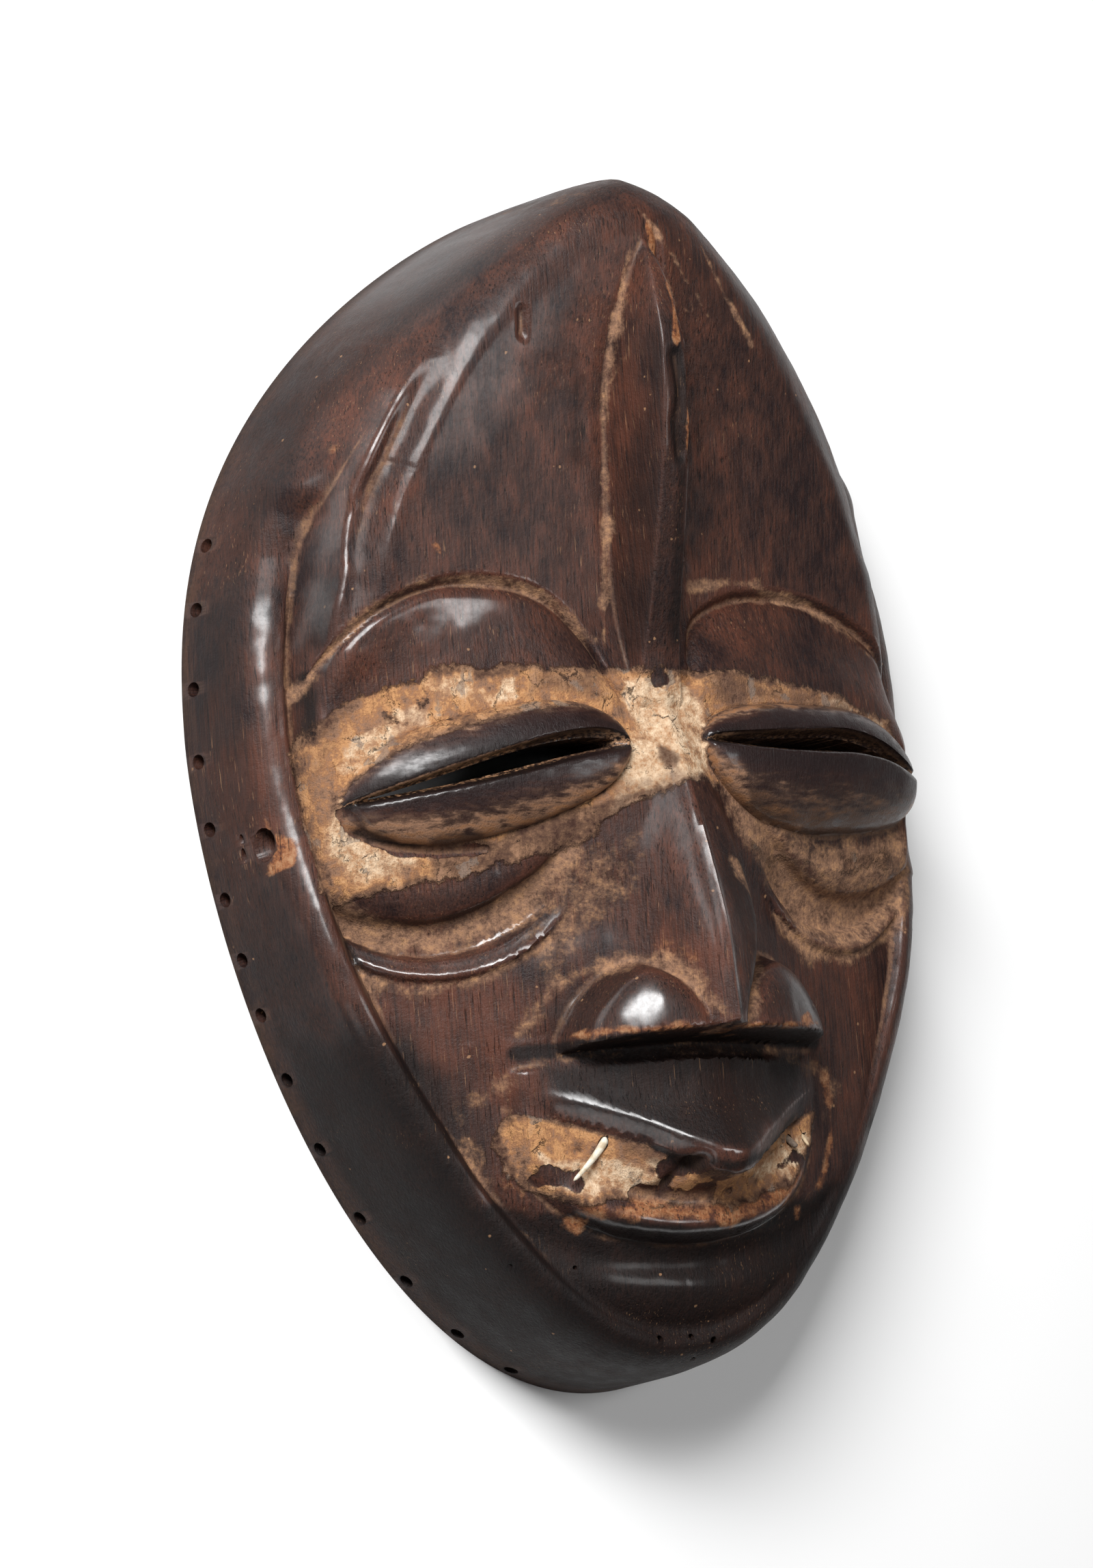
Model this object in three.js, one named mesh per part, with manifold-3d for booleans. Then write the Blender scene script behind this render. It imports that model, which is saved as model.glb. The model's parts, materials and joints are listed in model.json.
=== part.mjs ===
// A carved wooden face mask in the Guere manner, lying on its rim with the face up.
// Sizes are millimetres. X runs to the viewer's right, Y towards the top of the forehead, Z out of the face.
// The rim lies in the plane Z = 0, and the origin is midway between its ends and midway between its sides.

import * as THREE from "three";
import { mergeVertices } from "three/addons/utils/BufferGeometryUtils.js";
import Module from "manifold-3d";

// Overall sizes
const LENGTH = 243;
const HALF = LENGTH / 2;
const HALF_WIDTH = 83.4;
const WIDEST_Y = 12.5;
const CROWN_POWER = 2.4;
const CROWN_FLARE = 0.8;
const JAW_POWER = 1.65;

// The outer wall, the border's crest and the flat rim
const RIM_FLAT = 6;
const WALL_SHARPNESS = 1.8;
const CREST_SLOPE = 0.28;
const CREST_JOIN = { below: 0.9, above: 7, from: 34, to: 62 };
const SIDE_LIFTS = [{ by: 10, from: 38, to: 60 }, { by: 90, from: 52, to: 84 }];

// The hollow back, with a deeper channel for the wearer's nose
const HOLLOW_DEPTH = 29;
const HOLLOW_ROUNDNESS = 2.8;
const NOSE_CHANNEL = { y: -30, depth: 10, halfWidth: 15, halfLength: 28 };

// Tie holes along the rim, and the long worn hole in the left wall
const TIE_HOLE_RADIUS = 1.5;
const TIE_HOLE_HEIGHT = 3.1;
const TIE_HOLE_YS = [51, 38, 22, 7.5, -6, -20, -32, -43, -56, -70, -84, -97, -108, -116];
const WORN_HOLE = { y: -11.9, z: 15.6, radius: 2.2, halfLength: 3.4, depth: 9 };

// Teeth
const TOOTH_GAP = 0.3;
const TOOTH_SIDES = 8;

// How finely the form is drawn
const FACE_LINES = 45;
const BACK_LINES = 23;
const WALL_ROWS = 4;
const SETTLING_ROUNDS = 50;
const MOVED_SHARE = 0.3;
const PROBE_STEP = 0.05;
const FACE_CENTRE = [0, -12];

// The band across the eyes, the cheeks and the fold below each brow
const EYE_BAND = { height: 44.6, y: 6.5, fall: 0.0066 };
const CHEEK = { height: 39, chinY: -99, chinFall: 0.035, upperY: -41, upperFall: 0.01 };
const BROW = { step: 1.4, lineDepth: 0.8, lineWidth: 1.2, foot: -0.4, top: 2, overhang: 1.3 };
const FOREHEAD_ROUNDING = 18;
const TEMPLE = { halfWidth: 2.6, valleyShare: 0.5, valleyOffset: 5.4, valleyWidth: 3 };

// The folds under each eye: the pad, the dip below it and the thin roll
const FOLD = { dip: 2.4, rollHeight: 3, rollHalfWidth: 2.5, padSwell: 1.6, padOffset: 3.5, padWidth: 4.5 };

// The nose: the slope of its crest, its two wings and the square cut underneath
const NOSE_CREST_SLOPE = 0.45;
const NOSE_RIDGE_ROUNDING = 3;
const NOSE_BLEND = { under: 1.2, above: 6, from: -52, to: -42 };
const WING = { y: -53.6, point: 1.6, swell: 6.6, fall: 42 };
const WING_FOOT = { height: 57.6, slope: 0.47 };
const NOSE_CUT = { y: -52, height: 64.2, slope: 8, foot: -55.2 };

// The lips
const LIP_ROOT_Y = -55;
const LIP_BEVEL = { rise: 0.5, slope: 0.5 };
const LIP_THICKNESS = 4;
const LIP_FOOT = 5.2;
const LIP_FRONT_SLOPE = 9;
const LOWER_LIP = { halfWidth: 39.4, topY: -66, length: 28.6, roundness: 2.3, height: 45.6, fall: 0.0085 };
const LIP_BED = { from: 5, to: 12, depth: 2, backFrom: 9, backTo: 20, backRise: 7.5, halfWidth: 20 };
const LIP_SIDE = { drop: 9, slope: 2.4, rounding: 4 };
const CHIN_DIP = { depth: 1.5, offset: 3.8, width: 4 };

// The eyelids
const LID_ROUNDNESS = 2.4;
const LID_LENGTH_ROUNDNESS = 2.5;
const LID_GAP_DEPTH = 0.9;
const SLIT_LIFT = 0.5;
const SLIT_NARROWING = 1.5;
const SLIT_LEAST = 0.6;

// Heights and widths that change along the mask, each as pairs of [where, how much]
const CREST_HEIGHT = [
  [-121.5, 35.5], [-112, 35.5], [-95, 33.5], [-75, 30.5], [-55, 28], [-42, 26.8], [-28, 24.6],
  [-14, 21.5], [0, 19.6], [22, 18.8], [45, 18.2], [60, 17], [75, 13], [100, 6], [121.5, 4],
];
const CREST_INSET = [
  [-121.5, 8.3], [-100, 10], [-75, 11], [-55, 10.3], [-40, 9.6], [-28, 10], [-12, 11.4], [20, 12.2],
  [60, 12], [95, 9.6], [110, 7.6], [121.5, 7],
];
const WALL_LEAN = [[-121.5, 2.6], [-90, 5], [-40, 4.6], [20, 5], [60, 4.6], [95, 2.2], [121.5, 0.2]];
const FACE_SIDE_SLOPE = [
  [-121.5, 0.65], [-80, 0.55], [-45, 0.6], [-32, 1], [-22, 3.6], [-10, 4.6], [22, 4.4], [40, 3.6],
];
const FOREHEAD_MIDDLE = [
  [15, 44.5], [20, 42.3], [31, 40.4], [45, 41], [58, 42.4], [72, 44], [85, 46.8], [98, 50.2],
  [106, 51.8], [112, 51], [121.5, 45],
];
const FOREHEAD_HALF_WIDTH = [
  [0, 68], [17, 66], [28, 64], [40, 61], [46, 58.6], [60, 53], [73, 45.7], [90, 34.5], [101, 26.6],
  [112, 17.4], [121.5, 6],
];
const FOREHEAD_EDGE = [
  [15, 29], [28, 32], [40, 34.5], [46, 35.5], [60, 38.1], [73, 40.7], [90, 43.9], [101, 44.7],
  [112, 43.7], [121.5, 40.5],
];
const FOREHEAD_SIDE_SLOPE = [[40, 3.4], [60, 2.5], [75, 2.1], [95, 2]];
const TEMPLE_RIDGE = [[20, 69], [27, 67.6], [40, 65], [53.8, 61.4], [63, 57.4], [73.7, 51.6], [83, 45.4]];
const KEEL_HEIGHT = [
  [0, 44], [7, 45.2], [16, 45.8], [24, 47.4], [36, 51.1], [50, 55], [63, 58.2], [76, 59.9],
  [86, 59.7], [97, 56.4], [103, 53.4], [106, 51.6], [110, 48],
];
const KEEL_HALF_WIDTH = [[0, 5], [18, 4.4], [30, 3.6], [60, 3], [90, 2.4], [100, 1.3], [105, 0.2]];
const NOSE_HEIGHT = [
  [-60, 64.6], [-51.5, 64], [-46, 63.6], [-32, 61.9], [-18.5, 57.9], [-4.4, 52.6], [0, 50.6],
  [7, 46.5], [14, 44],
];
const NOSE_SWELL_HEIGHT = [[-60, 0], [-52, 8], [-45, 10], [-25, 10.5], [-8, 7], [4, 3], [12, 0]];
const NOSE_SWELL_WIDTH = [[-56, 25], [-20, 24], [0, 15], [10, 12]];
const LIP_ROOT_Z = [[0, 45.5], [12, 43], [24, 38.8], [33, 35], [40, 30]];
const PAD_EDGE = [
  [20, -11], [24, -15], [28, -18.8], [33, -22.4], [38, -25.2], [44, -27.2], [51, -27.6], [58, -26.6],
  [64, -24.4], [68, -22],
];
const ROLL_MIDDLE = [
  [18, -19.5], [22, -24.5], [27, -29.6], [33, -33.8], [40, -36.4], [47, -37], [54, -35.8], [60, -33],
  [66, -28.6], [69, -26],
];

// The two halves of the face were carved by eye and differ a little
const LEFT_SIDE = {
  browArch: [
    [8.6, 15], [10.8, 19.8], [13, 25], [16, 29.4], [20.6, 33.8], [27.2, 36.8], [35, 38], [43.3, 37.8],
    [50.4, 36], [57.4, 32.6], [63.5, 27.6], [67, 23], [70.5, 15],
  ],
  noseShoulder: [[-60, 2.4], [-50, 2.6], [-40, 4], [-25, 4.8], [-10, 3.6], [0, 2.4], [10, 1.6]],
  noseFlankSlope: 1.7,
  wing: { out: 13, halfWidth: 11.6, halfLength: 13.6 },
  lipEdgeY: [[0, -76.6], [3, -75.8], [8, -73.2], [14, -69.8], [24, -65.4], [33, -62.6], [39, -61.2]],
  lipEdgeZ: [
    [0, 57.4], [3, 56.6], [8, 53.6], [14, 49.2], [24, 41.8], [33, 35.6], [38, 31.5], [42, 28],
  ],
  templeHeight: 3.6,
  underEyeShift: 0,
  grooveInset: 1.3,
  grooveDepth: [[-121.5, 1.7], [25, 1.7], [50, 0.6]],
  crestLift: [[-121.5, 0]],
  browFall: 0.0042,
  cheekFall: 0.005,
  eye: {
    inner: 9.6, outer: 65, above: 13.2, below: 11.4, upperSwell: 6.2, lowerSwell: 5.8,
    gap: [[9.6, 3.2], [14, 5.4], [24, 5.4], [34, 4.8], [44, 4], [53, 2.9], [60, 2.1], [65, 1.5]],
    slit: [[8.6, 4.6], [22, 2.4], [34, 0], [44, -1.9], [54, -3.3], [67.4, -5.2]],
  },
};
const RIGHT_SIDE = {
  browArch: [
    [8.6, 18], [9.8, 25], [12.5, 30], [20, 34], [28, 35.2], [40, 34.5], [50, 31.9], [60, 26.9],
    [66, 21.5], [70.5, 15],
  ],
  noseShoulder: [[-60, 3], [-50, 3.8], [-42, 7.6], [-32, 11], [-20, 10.6], [-8, 7.6], [2, 4.4], [10, 2.4]],
  noseFlankSlope: 2.4,
  wing: { out: 18.4, halfWidth: 14.4, halfLength: 14.2 },
  lipEdgeY: [[0, -76.6], [3, -77], [8, -75.4], [14, -72.6], [24, -68], [33, -64.4], [39, -62]],
  lipEdgeZ: [
    [0, 57.4], [3, 57.5], [6, 56.2], [10, 53.2], [16, 48.8], [24, 43], [33, 36.6], [38, 32.5], [42, 29],
  ],
  templeHeight: 0.8,
  underEyeShift: 2.6,
  grooveInset: 0.4,
  grooveDepth: [[-121.5, 1.7], [-104, 0], [-88, -2], [-22, -2], [-4, 1.7]],
  crestLift: [[-104, 0], [-80, 1], [-55, 2.2], [-25, 2.4], [-6, 1.2], [12, 0]],
  browFall: 0.0029,
  cheekFall: 0.003,
  eye: {
    inner: 7.6, outer: 69.4, above: 9.8, below: 16.4, upperSwell: 5.6, lowerSwell: 7.4,
    gap: [[7.6, 2.4], [17, 3], [30, 3.7], [42, 4.3], [52, 3.8], [62, 2.9], [69.4, 2.2]],
    slit: [[8.4, 5.2], [18, 4.2], [33, 3.3], [49, 3], [58, 1.6], [69.4, -2]],
  },
};

const clamp = (t, low = 0, high = 1) => Math.min(Math.max(t, low), high);
const mix = (a, b, t) => a + (b - a) * t;
const bell = (t) => Math.exp(-t * t);

// A smooth step from 0 at "from" to 1 at "to", whichever of the two is the larger.
function rise(from, to, t) {
  const u = clamp((t - from) / (to - from));
  return u * u * (3 - 2 * u);
}

// The higher of two surfaces, with the corner between them rounded.
function join(a, b, rounding) {
  const h = clamp(0.5 + (0.5 * (a - b)) / rounding);
  return b + (a - b) * h + rounding * h * (1 - h);
}

const trim = (a, b, rounding) => -join(-a, -b, rounding);

// The smooth curve through [where, how much] pairs, level beyond its ends.
function along(pairs, where) {
  const last = pairs.length - 1;
  if (last === 0) return pairs[0][1];
  const t = clamp(where, pairs[0][0], pairs[last][0]);
  let i = 0;
  while (i < last - 1 && t >= pairs[i + 1][0]) i += 1;
  const slope = (k) => {
    const a = pairs[Math.max(k - 1, 0)];
    const b = pairs[Math.min(k + 1, last)];
    return (b[1] - a[1]) / (b[0] - a[0]);
  };
  const span = pairs[i + 1][0] - pairs[i][0];
  const u = (t - pairs[i][0]) / span;
  const u2 = u * u;
  const u3 = u2 * u;
  return (
    (2 * u3 - 3 * u2 + 1) * pairs[i][1] +
    (u3 - 2 * u2 + u) * span * slope(i) +
    (3 * u2 - 2 * u3) * pairs[i + 1][1] +
    (u3 - u2) * span * slope(i + 1)
  );
}

// A point of the rim at a turn round the mask: a pointed arch above, a slimmer oval below.
function rimPoint(turn) {
  const c = Math.cos(turn);
  const s = Math.sin(turn);
  const crown = Math.pow(1 - Math.pow(Math.abs(c), 1 / CROWN_FLARE), 1 / CROWN_POWER) * (HALF - WIDEST_Y);
  const jaw = -Math.pow(Math.abs(s), 2 / JAW_POWER) * (HALF + WIDEST_Y);
  return [HALF_WIDTH * c, WIDEST_Y + (s >= 0 ? crown : jaw)];
}

// The rim as evenly spaced points, a quarter at a time so that its extreme points stay in it.
function rimLoop(count) {
  const fine = 1000;
  const points = [];
  for (let quarter = 0; quarter < 4; quarter += 1) {
    const dense = [];
    const run = [0];
    for (let i = 0; i <= fine; i += 1) {
      dense.push(rimPoint(((quarter + i / fine) * Math.PI) / 2));
      if (i > 0) {
        const step = Math.hypot(dense[i][0] - dense[i - 1][0], dense[i][1] - dense[i - 1][1]);
        run.push(run[i - 1] + step);
      }
    }
    let at = 0;
    for (let i = 0; i < count / 4; i += 1) {
      const goal = (run[fine] * i) / (count / 4);
      while (run[at + 1] < goal) at += 1;
      const t = (goal - run[at]) / (run[at + 1] - run[at]);
      points.push([mix(dense[at][0], dense[at + 1][0], t), mix(dense[at][1], dense[at + 1][1], t)]);
    }
  }
  for (const p of points) {
    if (Math.abs(p[0]) < 1e-6) p[0] = 0;
  }
  return points;
}

// The direction straight in from the rim at each of its points.
function inwardOf(loop) {
  return loop.map((_, i) => {
    const a = loop[(i + loop.length - 1) % loop.length];
    const b = loop[(i + 1) % loop.length];
    const length = Math.hypot(b[0] - a[0], b[1] - a[1]);
    return [-(b[1] - a[1]) / length, (b[0] - a[0]) / length];
  });
}

// The rim moved in by a distance that can change along the mask.
function insetLoop(loop, distance) {
  const inward = inwardOf(loop);
  let moved = loop.map((p, i) => {
    const d = distance(p[1]);
    return [p[0] + inward[i][0] * d, p[1] + inward[i][1] * d];
  });
  for (let round = 0; round < 4; round += 1) {
    moved = moved.map((p, i) => {
      const a = moved[(i + moved.length - 1) % moved.length];
      const b = moved[(i + 1) % moved.length];
      return [p[0] / 2 + (a[0] + b[0]) / 4, p[1] / 2 + (a[1] + b[1]) / 4];
    });
  }
  return moved;
}

const RIM = rimLoop(4 * (FACE_LINES - 1));

// How far a plan point lies in from the rim, and how far along the mask the nearest rim point is.
function fromRim(x, y) {
  let best = Infinity;
  let nearY = 0;
  for (let i = 0; i < RIM.length; i += 1) {
    const a = RIM[i];
    const b = RIM[(i + 1) % RIM.length];
    const dx = b[0] - a[0];
    const dy = b[1] - a[1];
    const t = clamp(((x - a[0]) * dx + (y - a[1]) * dy) / (dx * dx + dy * dy));
    const distance = Math.hypot(x - a[0] - t * dx, y - a[1] - t * dy);
    if (distance < best) {
      best = distance;
      nearY = a[1] + t * dy;
    }
  }
  return [best, nearY];
}

// The broad forehead, its rolled edges and the thin ridge that runs down each temple.
function forehead(out, y, side) {
  const middle = along(FOREHEAD_MIDDLE, y);
  const width = along(FOREHEAD_HALF_WIDTH, y);
  const edge = along(FOREHEAD_EDGE, y);
  const across = clamp(out / Math.max(width, 1), 0, 1.4);
  const front = middle - (middle - edge) * across * across;
  const steep = edge + 0.4 * FOREHEAD_ROUNDING + (width - out) * along(FOREHEAD_SIDE_SLOPE, y);
  const fade = rise(20, 40, y) * rise(94, 64, y);
  const off = out - along(TEMPLE_RIDGE, y);
  const valley = TEMPLE.valleyShare * bell((off + TEMPLE.valleyOffset) / TEMPLE.valleyWidth);
  const ridge = bell(off / TEMPLE.halfWidth) - valley;
  return trim(front, steep, FOREHEAD_ROUNDING) + side.templeHeight * ridge * fade;
}

function keel(out, y) {
  return along(KEEL_HEIGHT, y) - join(0.12 * out, (out - along(KEEL_HALF_WIDTH, y)) * 3.4, 1.2);
}

// The swelling band across the eyes, the cheeks below it and the low swell round the nose.
function cheeks(out, y, side) {
  const eyeBand = EYE_BAND.height - side.browFall * out * out - EYE_BAND.fall * (y - EYE_BAND.y) ** 2;
  const chin = CHEEK.chinFall * Math.max(CHEEK.chinY - y, 0) ** 2;
  const upper = CHEEK.upperFall * Math.max(y - CHEEK.upperY, 0) ** 2;
  const below = CHEEK.height - side.cheekFall * out * out - chin - upper;
  const swell = along(NOSE_SWELL_HEIGHT, y) * bell(out / along(NOSE_SWELL_WIDTH, y));
  return join(eyeBand, below, 4) + swell;
}

// The steep plane that cuts the nose off underneath.
const noseCut = (y) => NOSE_CUT.height + (y - NOSE_CUT.y) * NOSE_CUT.slope;

// The ridge of the nose, with a broad shoulder on each side.
function noseRidge(out, y, side) {
  const shoulder = along(side.noseShoulder, y);
  const steep = NOSE_CREST_SLOPE * shoulder + (out - shoulder) * side.noseFlankSlope;
  const fall = join(NOSE_CREST_SLOPE * out, steep, NOSE_RIDGE_ROUNDING) + 0.5 * Math.min(out, 1.2);
  return trim(along(NOSE_HEIGHT, y) - fall, noseCut(y), 1);
}

// One wing of the nose: a round swelling that comes to a soft point above.
function noseWing(out, y, wing) {
  const across = Math.pow(Math.abs(out - wing.out) / wing.halfWidth, WING.point);
  const lengthways = Math.pow(Math.abs(y - WING.y) / wing.halfLength, WING.point);
  const reach = Math.pow(across + lengthways, 1 / WING.point);
  const ball = WING.swell * Math.sqrt(clamp(1 - reach * reach)) - WING.fall * Math.max(reach - 1, 0);
  return trim(WING_FOOT.height - WING_FOOT.slope * out + ball, noseCut(y), 1);
}

// The upper lip: a wedge that comes forward to a point, with a thick bevelled edge.
function upperLip(out, y, side) {
  const edgeY = along(side.lipEdgeY, out);
  const edgeZ = along(side.lipEdgeZ, out);
  const back = clamp((y - edgeY) / (LIP_ROOT_Y - edgeY), 0, 1.6);
  const top = mix(edgeZ, along(LIP_ROOT_Z, out), back);
  const bevel = edgeZ + LIP_BEVEL.rise + (y - edgeY) * LIP_BEVEL.slope;
  const front = edgeZ + (y - edgeY + LIP_THICKNESS) * LIP_FRONT_SLOPE;
  return trim(trim(top, bevel, 0.9), front, 1.6);
}

// How far a place lies inside the lower lip's outer edge, in about millimetres.
function insideLowerLip(out, y) {
  const { halfWidth, topY, length, roundness } = LOWER_LIP;
  const down = Math.max((topY - y) / length, 0);
  const across = Math.pow(out / halfWidth, roundness) + Math.pow(down, roundness);
  return (1 - Math.pow(across, 1 / roundness)) * ((halfWidth + length) / 2);
}

// The lower lip: a rolled edge round the shallow bed that the teeth stand in.
function lowerLip(out, y) {
  const inside = insideLowerLip(out, y);
  const roll = LOWER_LIP.height - LOWER_LIP.fall * out * out;
  const { from, to, depth, backFrom, backTo, backRise, halfWidth } = LIP_BED;
  const back = backRise * rise(backFrom, backTo, inside) * bell(out / halfWidth);
  const bed = roll - depth * rise(from, to, inside) + back;
  return trim(bed, roll - LIP_SIDE.drop + inside * LIP_SIDE.slope, LIP_SIDE.rounding);
}

// How far along its length an eye lies open to its full height, from 0 at the corners to 1.
function openAt(eye, out) {
  const u = clamp((out - eye.inner) / (eye.outer - eye.inner));
  return Math.sqrt(clamp(1 - Math.pow(Math.abs(2 * u - 1), LID_LENGTH_ROUNDNESS)));
}

// The long swollen lids of one eye, with the slit sunk between them.
function withLids(surface, out, y, eye) {
  const span = openAt(eye, out);
  if (span === 0) return surface;
  const v = y - along(eye.slit, out);
  const height = (v > 0 ? eye.above : eye.below) * span;
  if (Math.abs(v) >= height) return surface;
  const swell = v > 0 ? eye.upperSwell : eye.lowerSwell;
  const dome = Math.sqrt(1 - Math.pow(Math.abs(v) / height, LID_ROUNDNESS)) * swell * Math.pow(span, 0.6);
  const gap = along(eye.gap, out) * span;
  const sunk = rise(-0.9, 0.5, v) * rise(gap + 0.5, gap - 0.9, v);
  return surface + dome - LID_GAP_DEPTH * swell * span * sunk;
}

// The height of the carved face over a plan point.
function faceHeight(x, y) {
  const out = Math.abs(x);
  const side = x < 0 ? LEFT_SIDE : RIGHT_SIDE;
  const [inset, nearY] = fromRim(x, y);
  const crestInset = along(CREST_INSET, nearY);
  const crest = along(CREST_HEIGHT, nearY) + along(side.crestLift, nearY);
  const above = y - along(side.browArch, out);

  const brow = forehead(out, y, side);
  let skin = mix(cheeks(out, y, side), brow - BROW.step, rise(-16, -1, above));
  skin += BROW.overhang * (1 - Math.exp(Math.min(above, 0) / 3)) * rise(-20, -6, above);
  skin -= BROW.lineDepth * bell((above + 0.2) / BROW.lineWidth);
  skin = mix(skin, brow, rise(BROW.foot, BROW.top, above));

  const belowPad = y - along(PAD_EDGE, out) - side.underEyeShift;
  const offRoll = y - along(ROLL_MIDDLE, out) - side.underEyeShift;
  const reach = rise(20, 30, out);
  skin -= FOLD.dip * rise(0.9, -0.9, belowPad) * rise(-3, 0.5, offRoll) * reach;
  skin += FOLD.rollHeight * Math.sqrt(clamp(1 - (offRoll / FOLD.rollHalfWidth) ** 2)) * reach;
  skin += FOLD.padSwell * bell((belowPad - FOLD.padOffset) / FOLD.padWidth) * reach;

  const slope = along(FACE_SIDE_SLOPE, nearY);
  let limit = crest - along(side.grooveDepth, nearY) + (inset - crestInset - side.grooveInset) * slope;
  for (const lift of SIDE_LIFTS) limit += lift.by * rise(lift.from, lift.to, y);
  skin = trim(skin, limit, 3);

  if (y > 13) skin = join(skin, keel(out, y), 0.8);
  const blend = mix(NOSE_BLEND.under, NOSE_BLEND.above, rise(NOSE_BLEND.from, NOSE_BLEND.to, y));
  if (y < 16 && out < 40) skin = join(skin, noseRidge(out, y, side), blend);
  if (y < -30 && out < 40) skin = join(skin, noseWing(out, y, side.wing), 0.9);
  if (y < -58 && out < 46) skin = join(skin, lowerLip(out, y), 0.8);
  if (y < -52 && out < 42) skin = join(skin, upperLip(out, y, side), 1.4);
  const offLip = insideLowerLip(out, y) + CHIN_DIP.offset;
  skin -= CHIN_DIP.depth * bell(offLip / CHIN_DIP.width) * rise(-78, -90, y);
  skin = withLids(skin, out, y, side.eye);

  const past = join(inset - crestInset - 0.6, 0, 1.2);
  const rounding = mix(CREST_JOIN.below, CREST_JOIN.above, rise(CREST_JOIN.from, CREST_JOIN.to, nearY));
  return join(skin, crest - 1.15 * Math.pow(past, 1.15), rounding);
}

// The edges of the carving, each as a measure that is zero on its line and has no value past its ends.
const sideOf = (x) => (x < 0 ? LEFT_SIDE : RIGHT_SIDE);
const between = (t, low, high, value) => (t >= low && t <= high ? value() : NaN);

function browLine(offset) {
  return (x, y) => {
    const out = Math.abs(x);
    return between(out, 9.5, 69, () => y - along(sideOf(x).browArch, out) - offset);
  };
}

function lidLine(place) {
  return (x, y) => {
    const { eye } = sideOf(x);
    const out = Math.abs(x);
    const span = openAt(eye, out);
    return between(span, 0.38, 1, () => y - along(eye.slit, out) - place(eye, span, out));
  };
}

// The upper lip's edge, or a line below it.
function lipLine(drop) {
  return (x, y) => {
    const out = Math.abs(x);
    return between(out, 0, 37, () => y - along(sideOf(x).lipEdgeY, out) + drop);
  };
}

function lowerLipLine(inside) {
  return (x, y) => between(y, -100, -64, () => insideLowerLip(Math.abs(x), y) - inside);
}

function noseCutLine(height) {
  return (x, y) => between(Math.abs(x), 0, 33, () => y - height);
}

function foldLine(pairs, offset) {
  return (x, y) => {
    const out = Math.abs(x);
    return between(out, 24, 66, () => y - along(pairs, out) - sideOf(x).underEyeShift - offset);
  };
}

const CARVED_LINES = [
  (x, y) => between(y, -110, 118, () => x),
  browLine(BROW.foot),
  browLine(BROW.top),
  lidLine((eye, span) => eye.above * span),
  lidLine((eye, span) => -eye.below * span),
  lidLine(() => -0.7),
  lidLine((eye, span, out) => along(eye.gap, out) * span + 0.4),
  noseCutLine(NOSE_CUT.y),
  noseCutLine(NOSE_CUT.foot),
  lipLine(0),
  lipLine(LIP_THICKNESS - 0.2),
  lipLine(LIP_FOOT),
  lowerLipLine(0),
  lowerLipLine(3.6),
  (x, y) => between(y, 20, 102, () => Math.abs(x) - along(KEEL_HALF_WIDTH, y)),
  foldLine(PAD_EDGE, 0.6),
  foldLine(ROLL_MIDDLE, 2.2),
  foldLine(ROLL_MIDDLE, -2.4),
];

// Where a plan point lies between the middle of the face, at 0, and a loop round it, at 1.
function shareOut(x, y, loop) {
  const [px, py] = [x - FACE_CENTRE[0], y - FACE_CENTRE[1]];
  for (let i = 0; i < loop.length; i += 1) {
    const next = loop[(i + 1) % loop.length];
    const [ax, ay] = [loop[i][0] - FACE_CENTRE[0], loop[i][1] - FACE_CENTRE[1]];
    const [bx, by] = [next[0] - FACE_CENTRE[0], next[1] - FACE_CENTRE[1]];
    const area = ax * by - ay * bx;
    const s = (px * by - py * bx) / area;
    const t = (ax * py - ay * px) / area;
    if (s >= -1e-9 && t >= -1e-9) return Math.min(s + t, 1);
  }
  return 0;
}

// The height of the hollow's roof over a plan point inside its lip.
function hollowHeight(x, y, lip) {
  const bowl = HOLLOW_DEPTH * (1 - Math.pow(shareOut(x, y, lip), HOLLOW_ROUNDNESS));
  const { depth, halfWidth, halfLength } = NOSE_CHANNEL;
  return bowl + depth * bell(x / halfWidth) * bell((y - NOSE_CHANNEL.y) / halfLength);
}

// The grid positions round the square ring that lies "out" steps from the middle of a grid.
function squareRing(middle, out) {
  const ring = [];
  for (let k = 0; k < out; k += 1) ring.push([middle + out, middle + k]);
  for (let k = out; k > -out; k -= 1) ring.push([middle + k, middle + out]);
  for (let k = out; k > -out; k -= 1) ring.push([middle - out, middle + k]);
  for (let k = -out; k < out; k += 1) ring.push([middle + k, middle - out]);
  for (let k = -out; k < 0; k += 1) ring.push([middle + out, middle + k]);
  return ring;
}

// More lines are wanted round the eyes and the mouth than on the forehead.
function detail(x, y) {
  const eyes = Math.exp(-(((Math.abs(x) - 38) / 34) ** 4) - (y / 20) ** 4);
  const mouth = Math.exp(-((x / 38) ** 4) - ((y + 70) / 34) ** 4);
  return 1 + eyes + 0.6 * mouth;
}

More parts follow.
